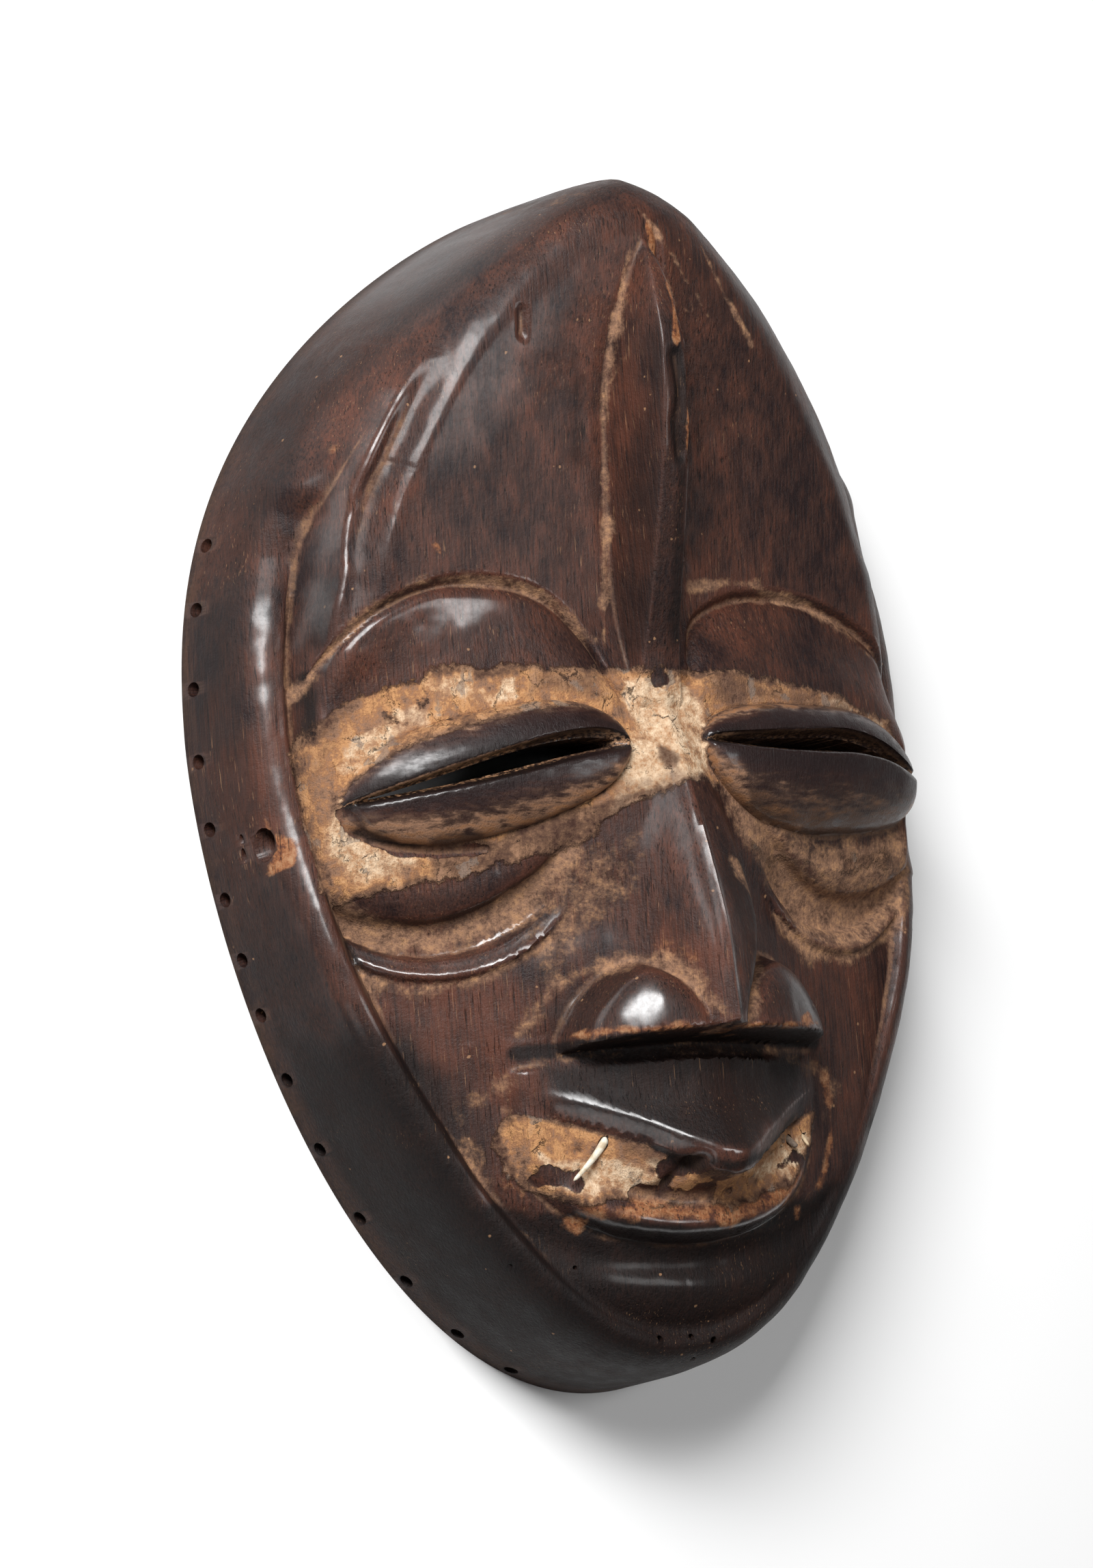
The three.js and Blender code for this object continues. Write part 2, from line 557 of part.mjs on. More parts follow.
// A square grid laid inside a loop, and settled so that steep and detailed places get more of its lines.
function settledGrid(lines, loop, heightAt, detailAt) {
  const middle = (lines - 1) / 2;
  const grid = Array.from({ length: lines }, () => Array.from({ length: lines }, () => [...FACE_CENTRE]));
  for (let out = 1; out <= middle; out += 1) {
    const ring = squareRing(middle, out);
    ring.forEach(([i, j], k) => {
      const at = (k / ring.length) * loop.length;
      const low = Math.floor(at);
      const a = loop[low % loop.length];
      const b = loop[(low + 1) % loop.length];
      const t = at - low;
      grid[i][j] = [0, 1].map((c) => mix(FACE_CENTRE[c], mix(a[c], b[c], t), out / middle));
    });
  }
  const pull = (a, b, za, zb) => {
    const length = Math.hypot(a[0] - b[0], a[1] - b[1]) + 1e-6;
    const steep = Math.min(Math.abs(za - zb) / length, 4);
    return Math.sqrt(1 + steep * steep) * detailAt((a[0] + b[0]) / 2, (a[1] + b[1]) / 2);
  };
  for (let round = 0; round < SETTLING_ROUNDS; round += 1) {
    const z = grid.map((row) => row.map((p) => heightAt(p[0], p[1])));
    const next = grid.map((row) => row.map((p) => [...p]));
    for (let i = 1; i < lines - 1; i += 1) {
      for (let j = 1; j < lines - 1; j += 1) {
        let total = 0;
        const sum = [0, 0];
        for (const [m, n] of [[i - 1, j], [i + 1, j], [i, j - 1], [i, j + 1]]) {
          const w = pull(grid[i][j], grid[m][n], z[i][j], z[m][n]);
          total += w;
          sum[0] += w * grid[m][n][0];
          sum[1] += w * grid[m][n][1];
        }
        next[i][j] = [0, 1].map((c) => mix(grid[i][j][c], sum[c] / total, 0.7));
      }
    }
    next.forEach((row, i) => row.forEach((p, j) => (grid[i][j] = p)));
  }
  return grid.map((row) => row.map((p) => new THREE.Vector3(p[0], p[1], heightAt(p[0], p[1]))));
}

// A flat drawing of the face in triangles, whose edges can be made to follow the carved lines.
class Plan {
  constructor(grid) {
    const lines = grid.length;
    this.points = grid.flat().map((p) => [p.x, p.y]);
    this.faces = [];
    for (let i = 0; i < lines - 1; i += 1) {
      for (let j = 0; j < lines - 1; j += 1) {
        const [a, b, c, d] = [i * lines + j, (i + 1) * lines + j, (i + 1) * lines + j + 1, i * lines + j + 1];
        const short = grid[i][j].distanceTo(grid[i + 1][j + 1]) < grid[i + 1][j].distanceTo(grid[i][j + 1]);
        this.faces.push(...(short ? [[a, b, c], [a, c, d]] : [[a, b, d], [b, c, d]]));
      }
    }
    const middle = (lines - 1) / 2;
    this.border = squareRing(middle, middle).map(([i, j]) => i * lines + j);
    this.held = new Set(this.border);
  }

  // The length of the shortest edge at each point.
  room() {
    const room = this.points.map(() => Infinity);
    for (const face of this.faces) {
      face.forEach((a, k) => {
        const b = face[(k + 1) % 3];
        const [p, q] = [this.points[a], this.points[b]];
        const length = Math.hypot(p[0] - q[0], p[1] - q[1]);
        room[a] = Math.min(room[a], length);
        room[b] = Math.min(room[b], length);
      });
    }
    return room;
  }

  // Draws in the line on which a measure is zero: near points move onto it, and edges it crosses are split.
  follow(measure) {
    const value = this.points.map(([x, y]) => measure(x, y));
    const room = this.room();
    this.points.forEach(([x, y], i) => {
      if (this.held.has(i)) return;
      const dx = (measure(x + PROBE_STEP, y) - measure(x - PROBE_STEP, y)) / (2 * PROBE_STEP);
      const dy = (measure(x, y + PROBE_STEP) - measure(x, y - PROBE_STEP)) / (2 * PROBE_STEP);
      const steep = Math.hypot(dx, dy);
      if (!(Math.abs(value[i]) < MOVED_SHARE * room[i] * steep)) return;
      this.points[i] = [x - (value[i] * dx) / steep ** 2, y - (value[i] * dy) / steep ** 2];
      value[i] = 0;
      this.held.add(i);
    });
    const made = new Map();
    const crossing = (a, b) => {
      if (!(value[a] * value[b] < 0)) return null;
      const key = `${Math.min(a, b)} ${Math.max(a, b)}`;
      if (!made.has(key)) {
        const t = value[a] / (value[a] - value[b]);
        this.points.push([0, 1].map((c) => mix(this.points[a][c], this.points[b][c], t)));
        made.set(key, this.points.length - 1);
        this.held.add(this.points.length - 1);
      }
      return made.get(key);
    };
    this.faces = this.faces.flatMap((face) => {
      const cut = face.map((a, k) => crossing(a, face[(k + 1) % 3]));
      const crossed = cut.filter((m) => m !== null).length;
      if (crossed === 0) return [face];
      const whole = cut.findIndex((m) => m === null);
      const turn = crossed === 1 ? cut.findIndex((m) => m !== null) : (whole + 1) % 3;
      const [a, b, c] = [0, 1, 2].map((k) => face[(turn + k) % 3]);
      const first = cut[turn];
      if (crossed === 1) return [[a, first, c], [first, b, c]];
      // The point b is alone on its side: its two edges are split at "first" and "second".
      const second = cut[(turn + 1) % 3];
      const span = (p, q) => Math.hypot(...[0, 1].map((k) => this.points[p][k] - this.points[q][k]));
      const rest = span(a, second) < span(first, c)
        ? [[a, first, second], [a, second, c]]
        : [[a, first, c], [first, second, c]];
      return [[first, b, second], ...rest];
    });
  }
}

// A list of points and triangles that pieces of surface are added to.
class Skin {
  constructor() {
    this.points = [];
    this.faces = [];
  }

  add(point) {
    this.points.push(point.x, point.y, point.z);
    return this.points.length / 3 - 1;
  }

  // Adds a plan raised to its heights, facing up or down, and gives back the numbers of its border points.
  addPlan(plan, heightAt, up) {
    const ids = plan.points.map(([x, y]) => this.add(new THREE.Vector3(x, y, heightAt(x, y))));
    plan.faces.forEach((f) => {
      const face = f.map((k) => ids[k]);
      this.faces.push(...(up ? face : face.reverse()));
    });
    return plan.border.map((k) => ids[k]);
  }

  // Joins an inner row to the next row out on a surface that faces up, or the other way for one facing down.
  joinRows(inner, outer, up) {
    const ratio = outer.length / inner.length;
    inner.forEach((a, i) => {
      const b = inner[(i + 1) % inner.length];
      const run = [];
      for (let k = 0; k <= ratio; k += 1) run.push(outer[(i * ratio + k) % outer.length]);
      const half = Math.ceil(ratio / 2);
      const made = [];
      for (let k = 0; k < ratio; k += 1) made.push([k < half ? a : b, run[k], run[k + 1]]);
      made.push([a, run[half], b]);
      made.forEach((f) => this.faces.push(...(up ? f : f.reverse())));
    });
  }

  geometry() {
    return new THREE.BufferGeometry()
      .setAttribute("position", new THREE.BufferAttribute(new Float32Array(this.points), 3))
      .setIndex(this.faces);
  }
}

// The uncut mask: carved front, outer wall, flat rim and hollow back in one closed skin.
function maskBlank() {
  const skin = new Skin();
  const crestLoop = insetLoop(RIM, (y) => along(CREST_INSET, y));
  const front = new Plan(settledGrid(FACE_LINES, crestLoop, faceHeight, detail));
  CARVED_LINES.forEach((line) => front.follow(line));
  let row = skin.addPlan(front, faceHeight, true);
  const crest = front.border.map((k) => {
    const [x, y] = front.points[k];
    return new THREE.Vector3(x, y, faceHeight(x, y));
  });
  const inward = inwardOf(RIM);
  for (let k = 1; k <= WALL_ROWS; k += 1) {
    const t = 1 - k / WALL_ROWS;
    const next = crest.map((top, i) => {
      const [x, y] = RIM[i];
      const lean = along(WALL_LEAN, y);
      const reach = along(CREST_INSET, y) - lean;
      const inner = faceHeight(top.x + inward[i][0], top.y + inward[i][1]);
      const slope = mix(CREST_SLOPE, clamp(inner - top.z, CREST_SLOPE, 2.4), rise(60, 80, y));
      const foot = new THREE.Vector3(x, y, 0);
      const bend = new THREE.Vector3(x + inward[i][0] * lean, y + inward[i][1] * lean, top.z - slope * reach);
      const pull = 2 * WALL_SHARPNESS * t * (1 - t);
      const total = (1 - t) ** 2 + pull + t * t;
      foot.multiplyScalar((1 - t) ** 2 / total);
      return skin.add(foot.addScaledVector(bend, pull / total).addScaledVector(top, (t * t) / total));
    });
    skin.joinRows(row, next, true);
    row = next;
  }
  const lip = insetLoop(rimLoop(4 * (BACK_LINES - 1)), () => RIM_FLAT);
  const roofHeight = (x, y) => hollowHeight(x, y, lip);
  const roof = new Plan(settledGrid(BACK_LINES, lip, roofHeight, () => 1));
  const roofEdge = skin.addPlan(roof, roofHeight, false);
  skin.joinRows(roofEdge, row, false);
  return skin.geometry();
}

const wasm = await Module();
wasm.setup();

// A closed geometry as a solid, with its shared points merged.
function solidOf(geometry) {
  const plain = geometry.clone();
  plain.deleteAttribute("normal");
  plain.deleteAttribute("uv");
  const merged = mergeVertices(plain, 1e-4);
  return new wasm.Manifold(
    new wasm.Mesh({
      numProp: 3,
      vertProperties: merged.attributes.position.array,
      triVerts: new Uint32Array(merged.index.array),
    }),
  );
}

function geometryOf(solid) {
  const { vertProperties, triVerts } = solid.getMesh();
  const geometry = new THREE.BufferGeometry()
    .setAttribute("position", new THREE.BufferAttribute(new Float32Array(vertProperties), 3))
    .setIndex(new THREE.BufferAttribute(new Uint32Array(triVerts), 1));
  geometry.computeVertexNormals();
  return geometry;
}

// The blade-shaped hole between one eye's lids, right through the wood.
function slitCutter(sign, eye) {
  const steps = 9;
  const from = eye.inner + 3;
  const to = eye.outer - 4.5;
  const lower = [];
  const upper = [];
  for (let k = 0; k <= steps; k += 1) {
    const out = mix(from, to, k / steps);
    const open = Math.pow(Math.sin((Math.PI * (k + 0.35)) / (steps + 0.7)), 0.5);
    const base = along(eye.slit, out) + SLIT_LIFT;
    lower.push(new THREE.Vector2(sign * out, base));
    const wide = Math.max(along(eye.gap, out) - SLIT_NARROWING, SLIT_LEAST);
    upper.push(new THREE.Vector2(sign * out, base + wide * open));
  }
  const shape = new THREE.Shape([...lower, ...upper.reverse()]);
  return new THREE.ExtrudeGeometry(shape, { depth: 80, bevelEnabled: false }).translate(0, 0, -5);
}

// A hole straight in through the outer wall at a height above the rim, longer than high if it is stretched.
function wallHole(sign, y, z, radius, depth, sides, stretch = 1) {
  const width = HALF_WIDTH * (y > WIDEST_Y
    ? Math.pow(1 - Math.pow((y - WIDEST_Y) / (HALF - WIDEST_Y), CROWN_POWER), CROWN_FLARE)
    : Math.sqrt(1 - Math.pow((WIDEST_Y - y) / (HALF + WIDEST_Y), JAW_POWER)));
  let nearest = 0;
  RIM.forEach((p, i) => {
    const here = Math.hypot(p[0] - sign * width, p[1] - y);
    const best = Math.hypot(RIM[nearest][0] - sign * width, RIM[nearest][1] - y);
    if (here < best) nearest = i;
  });
  const [dx, dy] = inwardOf(RIM)[nearest];
  const hole = new THREE.CylinderGeometry(radius, radius, depth + 6, sides);
  hole.rotateZ(Math.PI / 2).translate(depth / 2 - 3, 0, 0).rotateZ(Math.atan2(dy, dx)).scale(1, stretch, 1);
  return hole.translate(sign * width, y, z);
}

// One tooth: a thin tapering peg along a slightly bent line from its root to its tip.
function toothGeometry(root, tip, bow, radius, tipRadius, grow) {
  const middle = root.clone().lerp(tip, 0.5).add(bow);
  const path = new THREE.QuadraticBezierCurve3(root, middle, tip);
  const rings = 5;
  const skin = new Skin();
  const frames = path.computeFrenetFrames(rings, false);
  const loops = [];
  for (let k = 0; k <= rings; k += 1) {
    const at = path.getPoint(k / rings);
    if (k === 0) at.addScaledVector(frames.tangents[0], -grow);
    const r = mix(radius, tipRadius, Math.pow(k / rings, 1.3)) + grow;
    const loop = [];
    for (let s = 0; s < TOOTH_SIDES; s += 1) {
      const turn = (s / TOOTH_SIDES) * 2 * Math.PI;
      const p = at.clone();
      p.addScaledVector(frames.normals[k], r * Math.cos(turn));
      p.addScaledVector(frames.binormals[k], r * Math.sin(turn));
      loop.push(skin.add(p));
    }
    loops.push(loop);
  }
  const first = skin.add(path.getPoint(0).addScaledVector(frames.tangents[0], -grow));
  const last = skin.add(path.getPoint(1));
  for (let s = 0; s < TOOTH_SIDES; s += 1) {
    const n = (s + 1) % TOOTH_SIDES;
    skin.faces.push(first, loops[0][n], loops[0][s], last, loops[rings][s], loops[rings][n]);
    for (let k = 0; k < rings; k += 1) {
      skin.faces.push(loops[k][s], loops[k][n], loops[k + 1][n]);
      skin.faces.push(loops[k][s], loops[k + 1][n], loops[k + 1][s]);
    }
  }
  return skin.geometry();
}

const TEETH = [
  {
    name: "tooth_right", root: [-17.6, -70.8, 41.5], tip: [-26.9, -80.3, 41.2], bow: [0.5, -0.4, 0.9],
    radius: 0.95, tipRadius: 0.35, color: 0xe9dfc6,
  },
  {
    name: "tooth_left", root: [28.6, -70.4, 34.6], tip: [30.6, -75.6, 38.6], bow: [0.3, 0, 0.4],
    radius: 0.6, tipRadius: 0.3, color: 0xd9c7a2,
  },
  {
    name: "tooth_left_stub", root: [25.2, -72.6, 36.2], tip: [26.6, -75.9, 40.2], bow: [0, 0, 0],
    radius: 0.85, tipRadius: 0.6, color: 0x8c7c66,
  },
];

const teeth = TEETH.map((t) => {
  const [root, tip, bow] = [t.root, t.tip, t.bow].map((p) => new THREE.Vector3(...p));
  return {
    ...t,
    peg: toothGeometry(root, tip, bow, t.radius, t.tipRadius, 0),
    socket: toothGeometry(root, tip, bow, t.radius, t.tipRadius, TOOTH_GAP),
  };
});

let body = solidOf(maskBlank());
const cuts = [slitCutter(-1, LEFT_SIDE.eye), slitCutter(1, RIGHT_SIDE.eye)];
for (const sign of [-1, 1]) {
  for (const y of TIE_HOLE_YS) cuts.push(wallHole(sign, y, TIE_HOLE_HEIGHT, TIE_HOLE_RADIUS, 14, 6));
}
const stretch = WORN_HOLE.halfLength / WORN_HOLE.radius;
cuts.push(wallHole(-1, WORN_HOLE.y, WORN_HOLE.z, WORN_HOLE.radius, WORN_HOLE.depth, 8, stretch));
for (const tooth of teeth) cuts.push(tooth.socket);
for (const cut of cuts) body = body.subtract(solidOf(cut));

const mask = new THREE.Group();
mask.name = "guere_mask";

const bodyMesh = new THREE.Mesh(
  geometryOf(body),
  new THREE.MeshStandardMaterial({ color: 0x3a2a22, roughness: 0.5, metalness: 0 }),
);
bodyMesh.name = "mask_body";
mask.add(bodyMesh);

for (const tooth of teeth) {
  const mesh = new THREE.Mesh(
    tooth.peg,
    new THREE.MeshStandardMaterial({ color: tooth.color, roughness: 0.4, metalness: 0 }),
  );
  mesh.name = tooth.name;
  mask.add(mesh);
}

export default mask;
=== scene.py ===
"""A carved wooden face mask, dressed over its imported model.

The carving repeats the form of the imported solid, finer: the same outline, crest, brows, lids, nose and lips,
with the surface's own dents, chips and dry crust on top. Lengths in the form's classes are millimetres in
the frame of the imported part, X to the viewer's right, Y to the forehead and Z out of the face, and every
mesh is turned into metres as it is made.
"""
import json
import logging
import math
from collections.abc import Callable
from dataclasses import dataclass, field
from enum import Enum
from typing import ClassVar

import bpy
import numpy as np
from mathutils import Matrix, Vector

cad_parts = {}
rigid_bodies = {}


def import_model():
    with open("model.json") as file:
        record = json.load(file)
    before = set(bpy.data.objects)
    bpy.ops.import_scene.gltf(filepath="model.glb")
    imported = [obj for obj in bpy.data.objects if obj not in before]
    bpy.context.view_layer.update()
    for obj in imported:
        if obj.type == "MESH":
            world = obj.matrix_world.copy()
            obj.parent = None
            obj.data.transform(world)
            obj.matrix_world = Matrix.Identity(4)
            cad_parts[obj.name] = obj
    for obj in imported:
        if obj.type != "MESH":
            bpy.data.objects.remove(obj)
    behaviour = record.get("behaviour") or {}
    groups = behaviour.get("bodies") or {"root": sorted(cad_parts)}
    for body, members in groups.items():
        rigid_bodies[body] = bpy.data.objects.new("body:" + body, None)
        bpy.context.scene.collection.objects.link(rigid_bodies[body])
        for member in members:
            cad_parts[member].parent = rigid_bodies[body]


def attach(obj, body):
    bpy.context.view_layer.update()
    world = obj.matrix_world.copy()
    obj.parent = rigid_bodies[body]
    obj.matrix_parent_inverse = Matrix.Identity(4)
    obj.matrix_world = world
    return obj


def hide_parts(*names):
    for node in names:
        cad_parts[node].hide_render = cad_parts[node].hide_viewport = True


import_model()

Array = np.ndarray
Measure = Callable[[Array, Array], Array]
Span = tuple[float, float]
Triple = tuple[float, float, float]
MM = 0.001
RIM_POINTS = 384
FINE_RIM_POINTS = 960
BATCH = 8192
CLEARANCE = 4.0
START_OUTSIDE = 3.0
NAIL_HOLE_SIDES = 12
WALL_HOLE_SIDES = 16

log = logging.getLogger("mask")


def clamp(t: Array, low: float = 0.0, high: float = 1.0) -> Array:
    """Keeps values between two limits."""
    return np.clip(t, low, high)


def mix(a: Array, b: Array, t: Array) -> Array:
    """Goes from a at 0 to b at 1."""
    return a + (b - a) * t


def bell(t: Array) -> Array:
    """A smooth bump that is 1 at 0."""
    return np.exp(-t * t)


def rise(start: float, end: float, t: Array) -> Array:
    """A smooth step.

    Args:
        start: Where the step is still 0.
        end: Where it has become 1, above or below start.
        t: The places to look at.

    Returns:
        The height of the step at each place.
    """
    u = clamp((t - start) / (end - start))
    return u * u * (3 - 2 * u)


def join(a: Array, b: Array, rounding: float) -> Array:
    """The higher of two surfaces, with the corner between them rounded."""
    h = clamp(0.5 + 0.5 * (a - b) / rounding)
    return b + (a - b) * h + rounding * h * (1 - h)


def trim(a: Array, b: Array, rounding: float) -> Array:
    """The lower of two surfaces, with the corner between them rounded."""
    return -join(-a, -b, rounding)


def columns(*parts: Array) -> Array:
    """Puts parts of the same length side by side, such as the corners of triangles."""
    return np.stack(parts, -1)


def edges_of(faces: Array) -> Array:
    """The ends of the three edges of each triangle."""
    return np.concatenate([faces[:, [0, 1]], faces[:, [1, 2]], faces[:, [2, 0]]])


@dataclass(frozen=True)
class Course:
    """A size that changes smoothly along the mask, as pairs of where and how much."""

    pairs: tuple[tuple[float, float], ...]

    def at(self, where: Array) -> Array:
        """The size at each place, level beyond the ends.

        Args:
            where: The places, in millimetres.

        Returns:
            The smooth curve's values there.
        """
        x, y = np.array(self.pairs, float).T
        if len(x) == 1:
            return np.full(np.shape(where), y[0])
        slope = np.empty_like(y)
        slope[1:-1] = (y[2:] - y[:-2]) / (x[2:] - x[:-2])
        slope[0], slope[-1] = (y[1] - y[0]) / (x[1] - x[0]), (y[-1] - y[-2]) / (x[-1] - x[-2])
        t = clamp(where, x[0], x[-1])
        i = np.clip(np.searchsorted(x, t, side="right") - 1, 0, len(x) - 2)
        span = x[i + 1] - x[i]
        u = (t - x[i]) / span
        value = (2 * u**3 - 3 * u**2 + 1) * y[i] + (3 * u**2 - 2 * u**3) * y[i + 1]
        return value + span * ((u**3 - 2 * u**2 + u) * slope[i] + (u**3 - u**2) * slope[i + 1])


def course(*pairs: tuple[float, float]) -> Course:
    """A course from its pairs."""
    return Course(pairs)


@dataclass(frozen=True)
class Eye:
    """The long lids of one eye and the slit between them."""

    inner: float
    outer: float
    above: float
    below: float
    upper_swell: float
    lower_swell: float
    gap: Course
    slit: Course
    corner_power: float = 2.5

    def span(self, out: Array) -> Array:
        """The share of their full height that the lids reach, from 0 at the corners to 1."""
        u = clamp((out - self.inner) / (self.outer - self.inner))
        return np.sqrt(clamp(1 - np.abs(2 * u - 1) ** self.corner_power))


@dataclass(frozen=True)
class Wing:
    """One wing of the nose, a round swelling that comes to a soft point above."""

    out: float
    half_width: float
    y: float = -53.6
    half_length: float = 15.6
    point: float = 1.6
    swell: float = 6.6
    fall: float = 42.0
    foot_height: float = 57.6
    foot_slope: float = 0.47

    def height(self, out: Array, y: Array) -> Array:
        """The wing's height over plan points."""
        across = (np.abs(out - self.out) / self.half_width) ** self.point
        reach = (across + (np.abs(y - self.y) / self.half_length) ** self.point) ** (1 / self.point)
        ball = self.swell * np.sqrt(clamp(1 - reach**2)) - self.fall * np.maximum(reach - 1, 0)
        return self.foot_height - self.foot_slope * out + ball


@dataclass(frozen=True)
class Half:
    """What differs between the two halves of the face, which were carved by eye."""

    brow_arch: Course
    nose_shoulder: Course
    nose_flank_slope: float
    wing: Wing
    lip_edge_y: Course
    lip_edge_z: Course
    temple_ridge_height: float
    under_eye_shift: float
    groove_inset: float
    groove_depth: Course
    crest_lift: Course
    brow_fall: float
    cheek_fall: float
    eye: Eye


LEFT = Half(
    brow_arch=course(
        (8.6, 15), (10.8, 19.8), (13, 25), (16, 29.4), (20.6, 33.8), (27.2, 36.8), (35, 38), (43.3, 37.8),
        (50.4, 36), (57.4, 32.6), (63.5, 27.6), (67, 23), (70.5, 15),
    ),
    nose_shoulder=course((-60, 2.4), (-50, 2.6), (-40, 4), (-25, 4.8), (-10, 3.6), (0, 2.4), (10, 1.6)),
    nose_flank_slope=1.7,
    wing=Wing(out=13, half_width=11.6, half_length=13.6),
    lip_edge_y=course((0, -76.6), (3, -75.8), (8, -73.2), (14, -69.8), (24, -65.4), (33, -62.6), (39, -61.2)),
    lip_edge_z=course(
        (0, 57.4), (3, 56.6), (8, 53.6), (14, 49.2), (24, 41.8), (33, 35.6), (38, 31.5), (42, 28)
    ),
    temple_ridge_height=3.6,
    under_eye_shift=0.0,
    groove_inset=1.3,
    groove_depth=course((-121.5, 1.7), (25, 1.7), (50, 0.6)),
    crest_lift=course((-121.5, 0)),
    brow_fall=0.0042,
    cheek_fall=0.005,
    eye=Eye(
        inner=9.6, outer=65, above=13.2, below=11.4, upper_swell=6.2, lower_swell=5.8,
        gap=course((9.6, 3.2), (14, 5.4), (24, 5.4), (34, 4.8), (44, 4), (53, 2.9), (60, 2.1), (65, 1.5)),
        slit=course((8.6, 4.6), (22, 2.4), (34, 0), (44, -1.9), (54, -3.3), (67.4, -5.2)),
    ),
)
RIGHT = Half(
    brow_arch=course(
        (8.6, 18), (9.8, 25), (12.5, 30), (20, 34), (28, 35.2), (40, 34.5), (50, 31.9), (60, 26.9),
        (66, 21.5), (70.5, 15),
    ),
    nose_shoulder=course(
        (-60, 3), (-50, 3.8), (-42, 7.6), (-32, 11), (-20, 10.6), (-8, 7.6), (2, 4.4), (10, 2.4)
    ),
    nose_flank_slope=2.4,
    wing=Wing(out=18.4, half_width=14.4, half_length=14.2),
    lip_edge_y=course((0, -76.6), (3, -77), (8, -75.4), (14, -72.6), (24, -68), (33, -64.4), (39, -62)),
    lip_edge_z=course(
        (0, 57.4), (3, 57.5), (6, 56.2), (10, 53.2), (16, 48.8), (24, 43), (33, 36.6), (38, 32.5), (42, 29)
    ),
    temple_ridge_height=0.8,
    under_eye_shift=2.6,
    groove_inset=0.4,
    groove_depth=course((-121.5, 1.7), (-104, 0), (-88, -2), (-22, -2), (-4, 1.7)),
    crest_lift=course((-104, 0), (-80, 1), (-55, 2.2), (-25, 2.4), (-6, 1.2), (12, 0)),
    brow_fall=0.0029,
    cheek_fall=0.003,
    eye=Eye(
        inner=7.6, outer=69.4, above=9.8, below=16.4, upper_swell=5.6, lower_swell=7.4,
        gap=course((7.6, 2.4), (17, 3), (30, 3.7), (42, 4.3), (52, 3.8), (62, 2.9), (69.4, 2.2)),
        slit=course((8.4, 5.2), (18, 4.2), (33, 3.3), (49, 3), (58, 1.6), (69.4, -2)),
    ),
)


@dataclass(frozen=True)
class Outline:
    """The mask's rim seen from the front: a pointed arch above, a slimmer oval below."""

    half_length: float = 121.5
    half_width: float = 83.4
    widest_y: float = 12.5
    crown_power: float = 2.4
    crown_flare: float = 0.8
    jaw_power: float = 1.65

    def point(self, turn: Array) -> Array:
        """Points of the rim at turns round the mask."""
        c, s = np.cos(turn), np.sin(turn)
        arch = clamp(1 - np.abs(c) ** (1 / self.crown_flare)) ** (1 / self.crown_power)
        crown = arch * (self.half_length - self.widest_y)
        jaw = -np.abs(s) ** (2 / self.jaw_power) * (self.half_length + self.widest_y)
        return columns(self.half_width * c, self.widest_y + np.where(s >= 0, crown, jaw))

    def loop(self, count: int) -> Array:
        """The rim as evenly spaced points, a quarter at a time so that its extreme points stay in it."""
        points = []
        for quarter in range(4):
            dense = self.point((quarter + np.linspace(0, 1, 4001)) * math.pi / 2)
            run = np.concatenate([[0], np.cumsum(np.hypot(*np.diff(dense, axis=0).T))])
            goal = run[-1] * np.arange(count // 4) / (count // 4)
            points.append(np.stack([np.interp(goal, run, dense[:, k]) for k in (0, 1)], -1))
        return np.concatenate(points)

    def half_width_at(self, y: float) -> float:
        """Half the width of the rim at one height."""
        if y > self.widest_y:
            t = (y - self.widest_y) / (self.half_length - self.widest_y)
            return self.half_width * (1 - t**self.crown_power) ** self.crown_flare
        t = (self.widest_y - y) / (self.half_length + self.widest_y)
        return self.half_width * math.sqrt(1 - t**self.jaw_power)


def inward_of(loop: Array) -> Array:
    """The direction straight in from a loop at each of its points."""
    along = np.roll(loop, -1, 0) - np.roll(loop, 1, 0)
    along /= np.linalg.norm(along, axis=1)[:, None]
    return columns(-along[:, 1], along[:, 0])


def inset_loop(loop: Array, distance: Array, reach: float = 3.4) -> Array:
    """A loop moved in and evened out.

    Args:
        loop: The points to start from.
        distance: How far each of them moves in.
        reach: How far the evening reaches along the loop, in millimetres.

    Returns:
        The moved points.
    """
    moved = loop + inward_of(loop) * distance[:, None]
    step = np.hypot(*(loop[1] - loop[0]))
    for _ in range(int(round((2 * reach / step) ** 2))):
        moved = moved / 2 + (np.roll(moved, 1, 0) + np.roll(moved, -1, 0)) / 4
    return moved


@dataclass(frozen=True)
class Region:
    """The part of the face that a form lies in, and how round the corner is where it joins the rest."""

    top_y: float
    half_width: float
    rounding: float

    def here(self, out: Array, y: Array) -> Array:
        """Which places lie in it."""
        return (y < self.top_y) & (out < self.half_width)


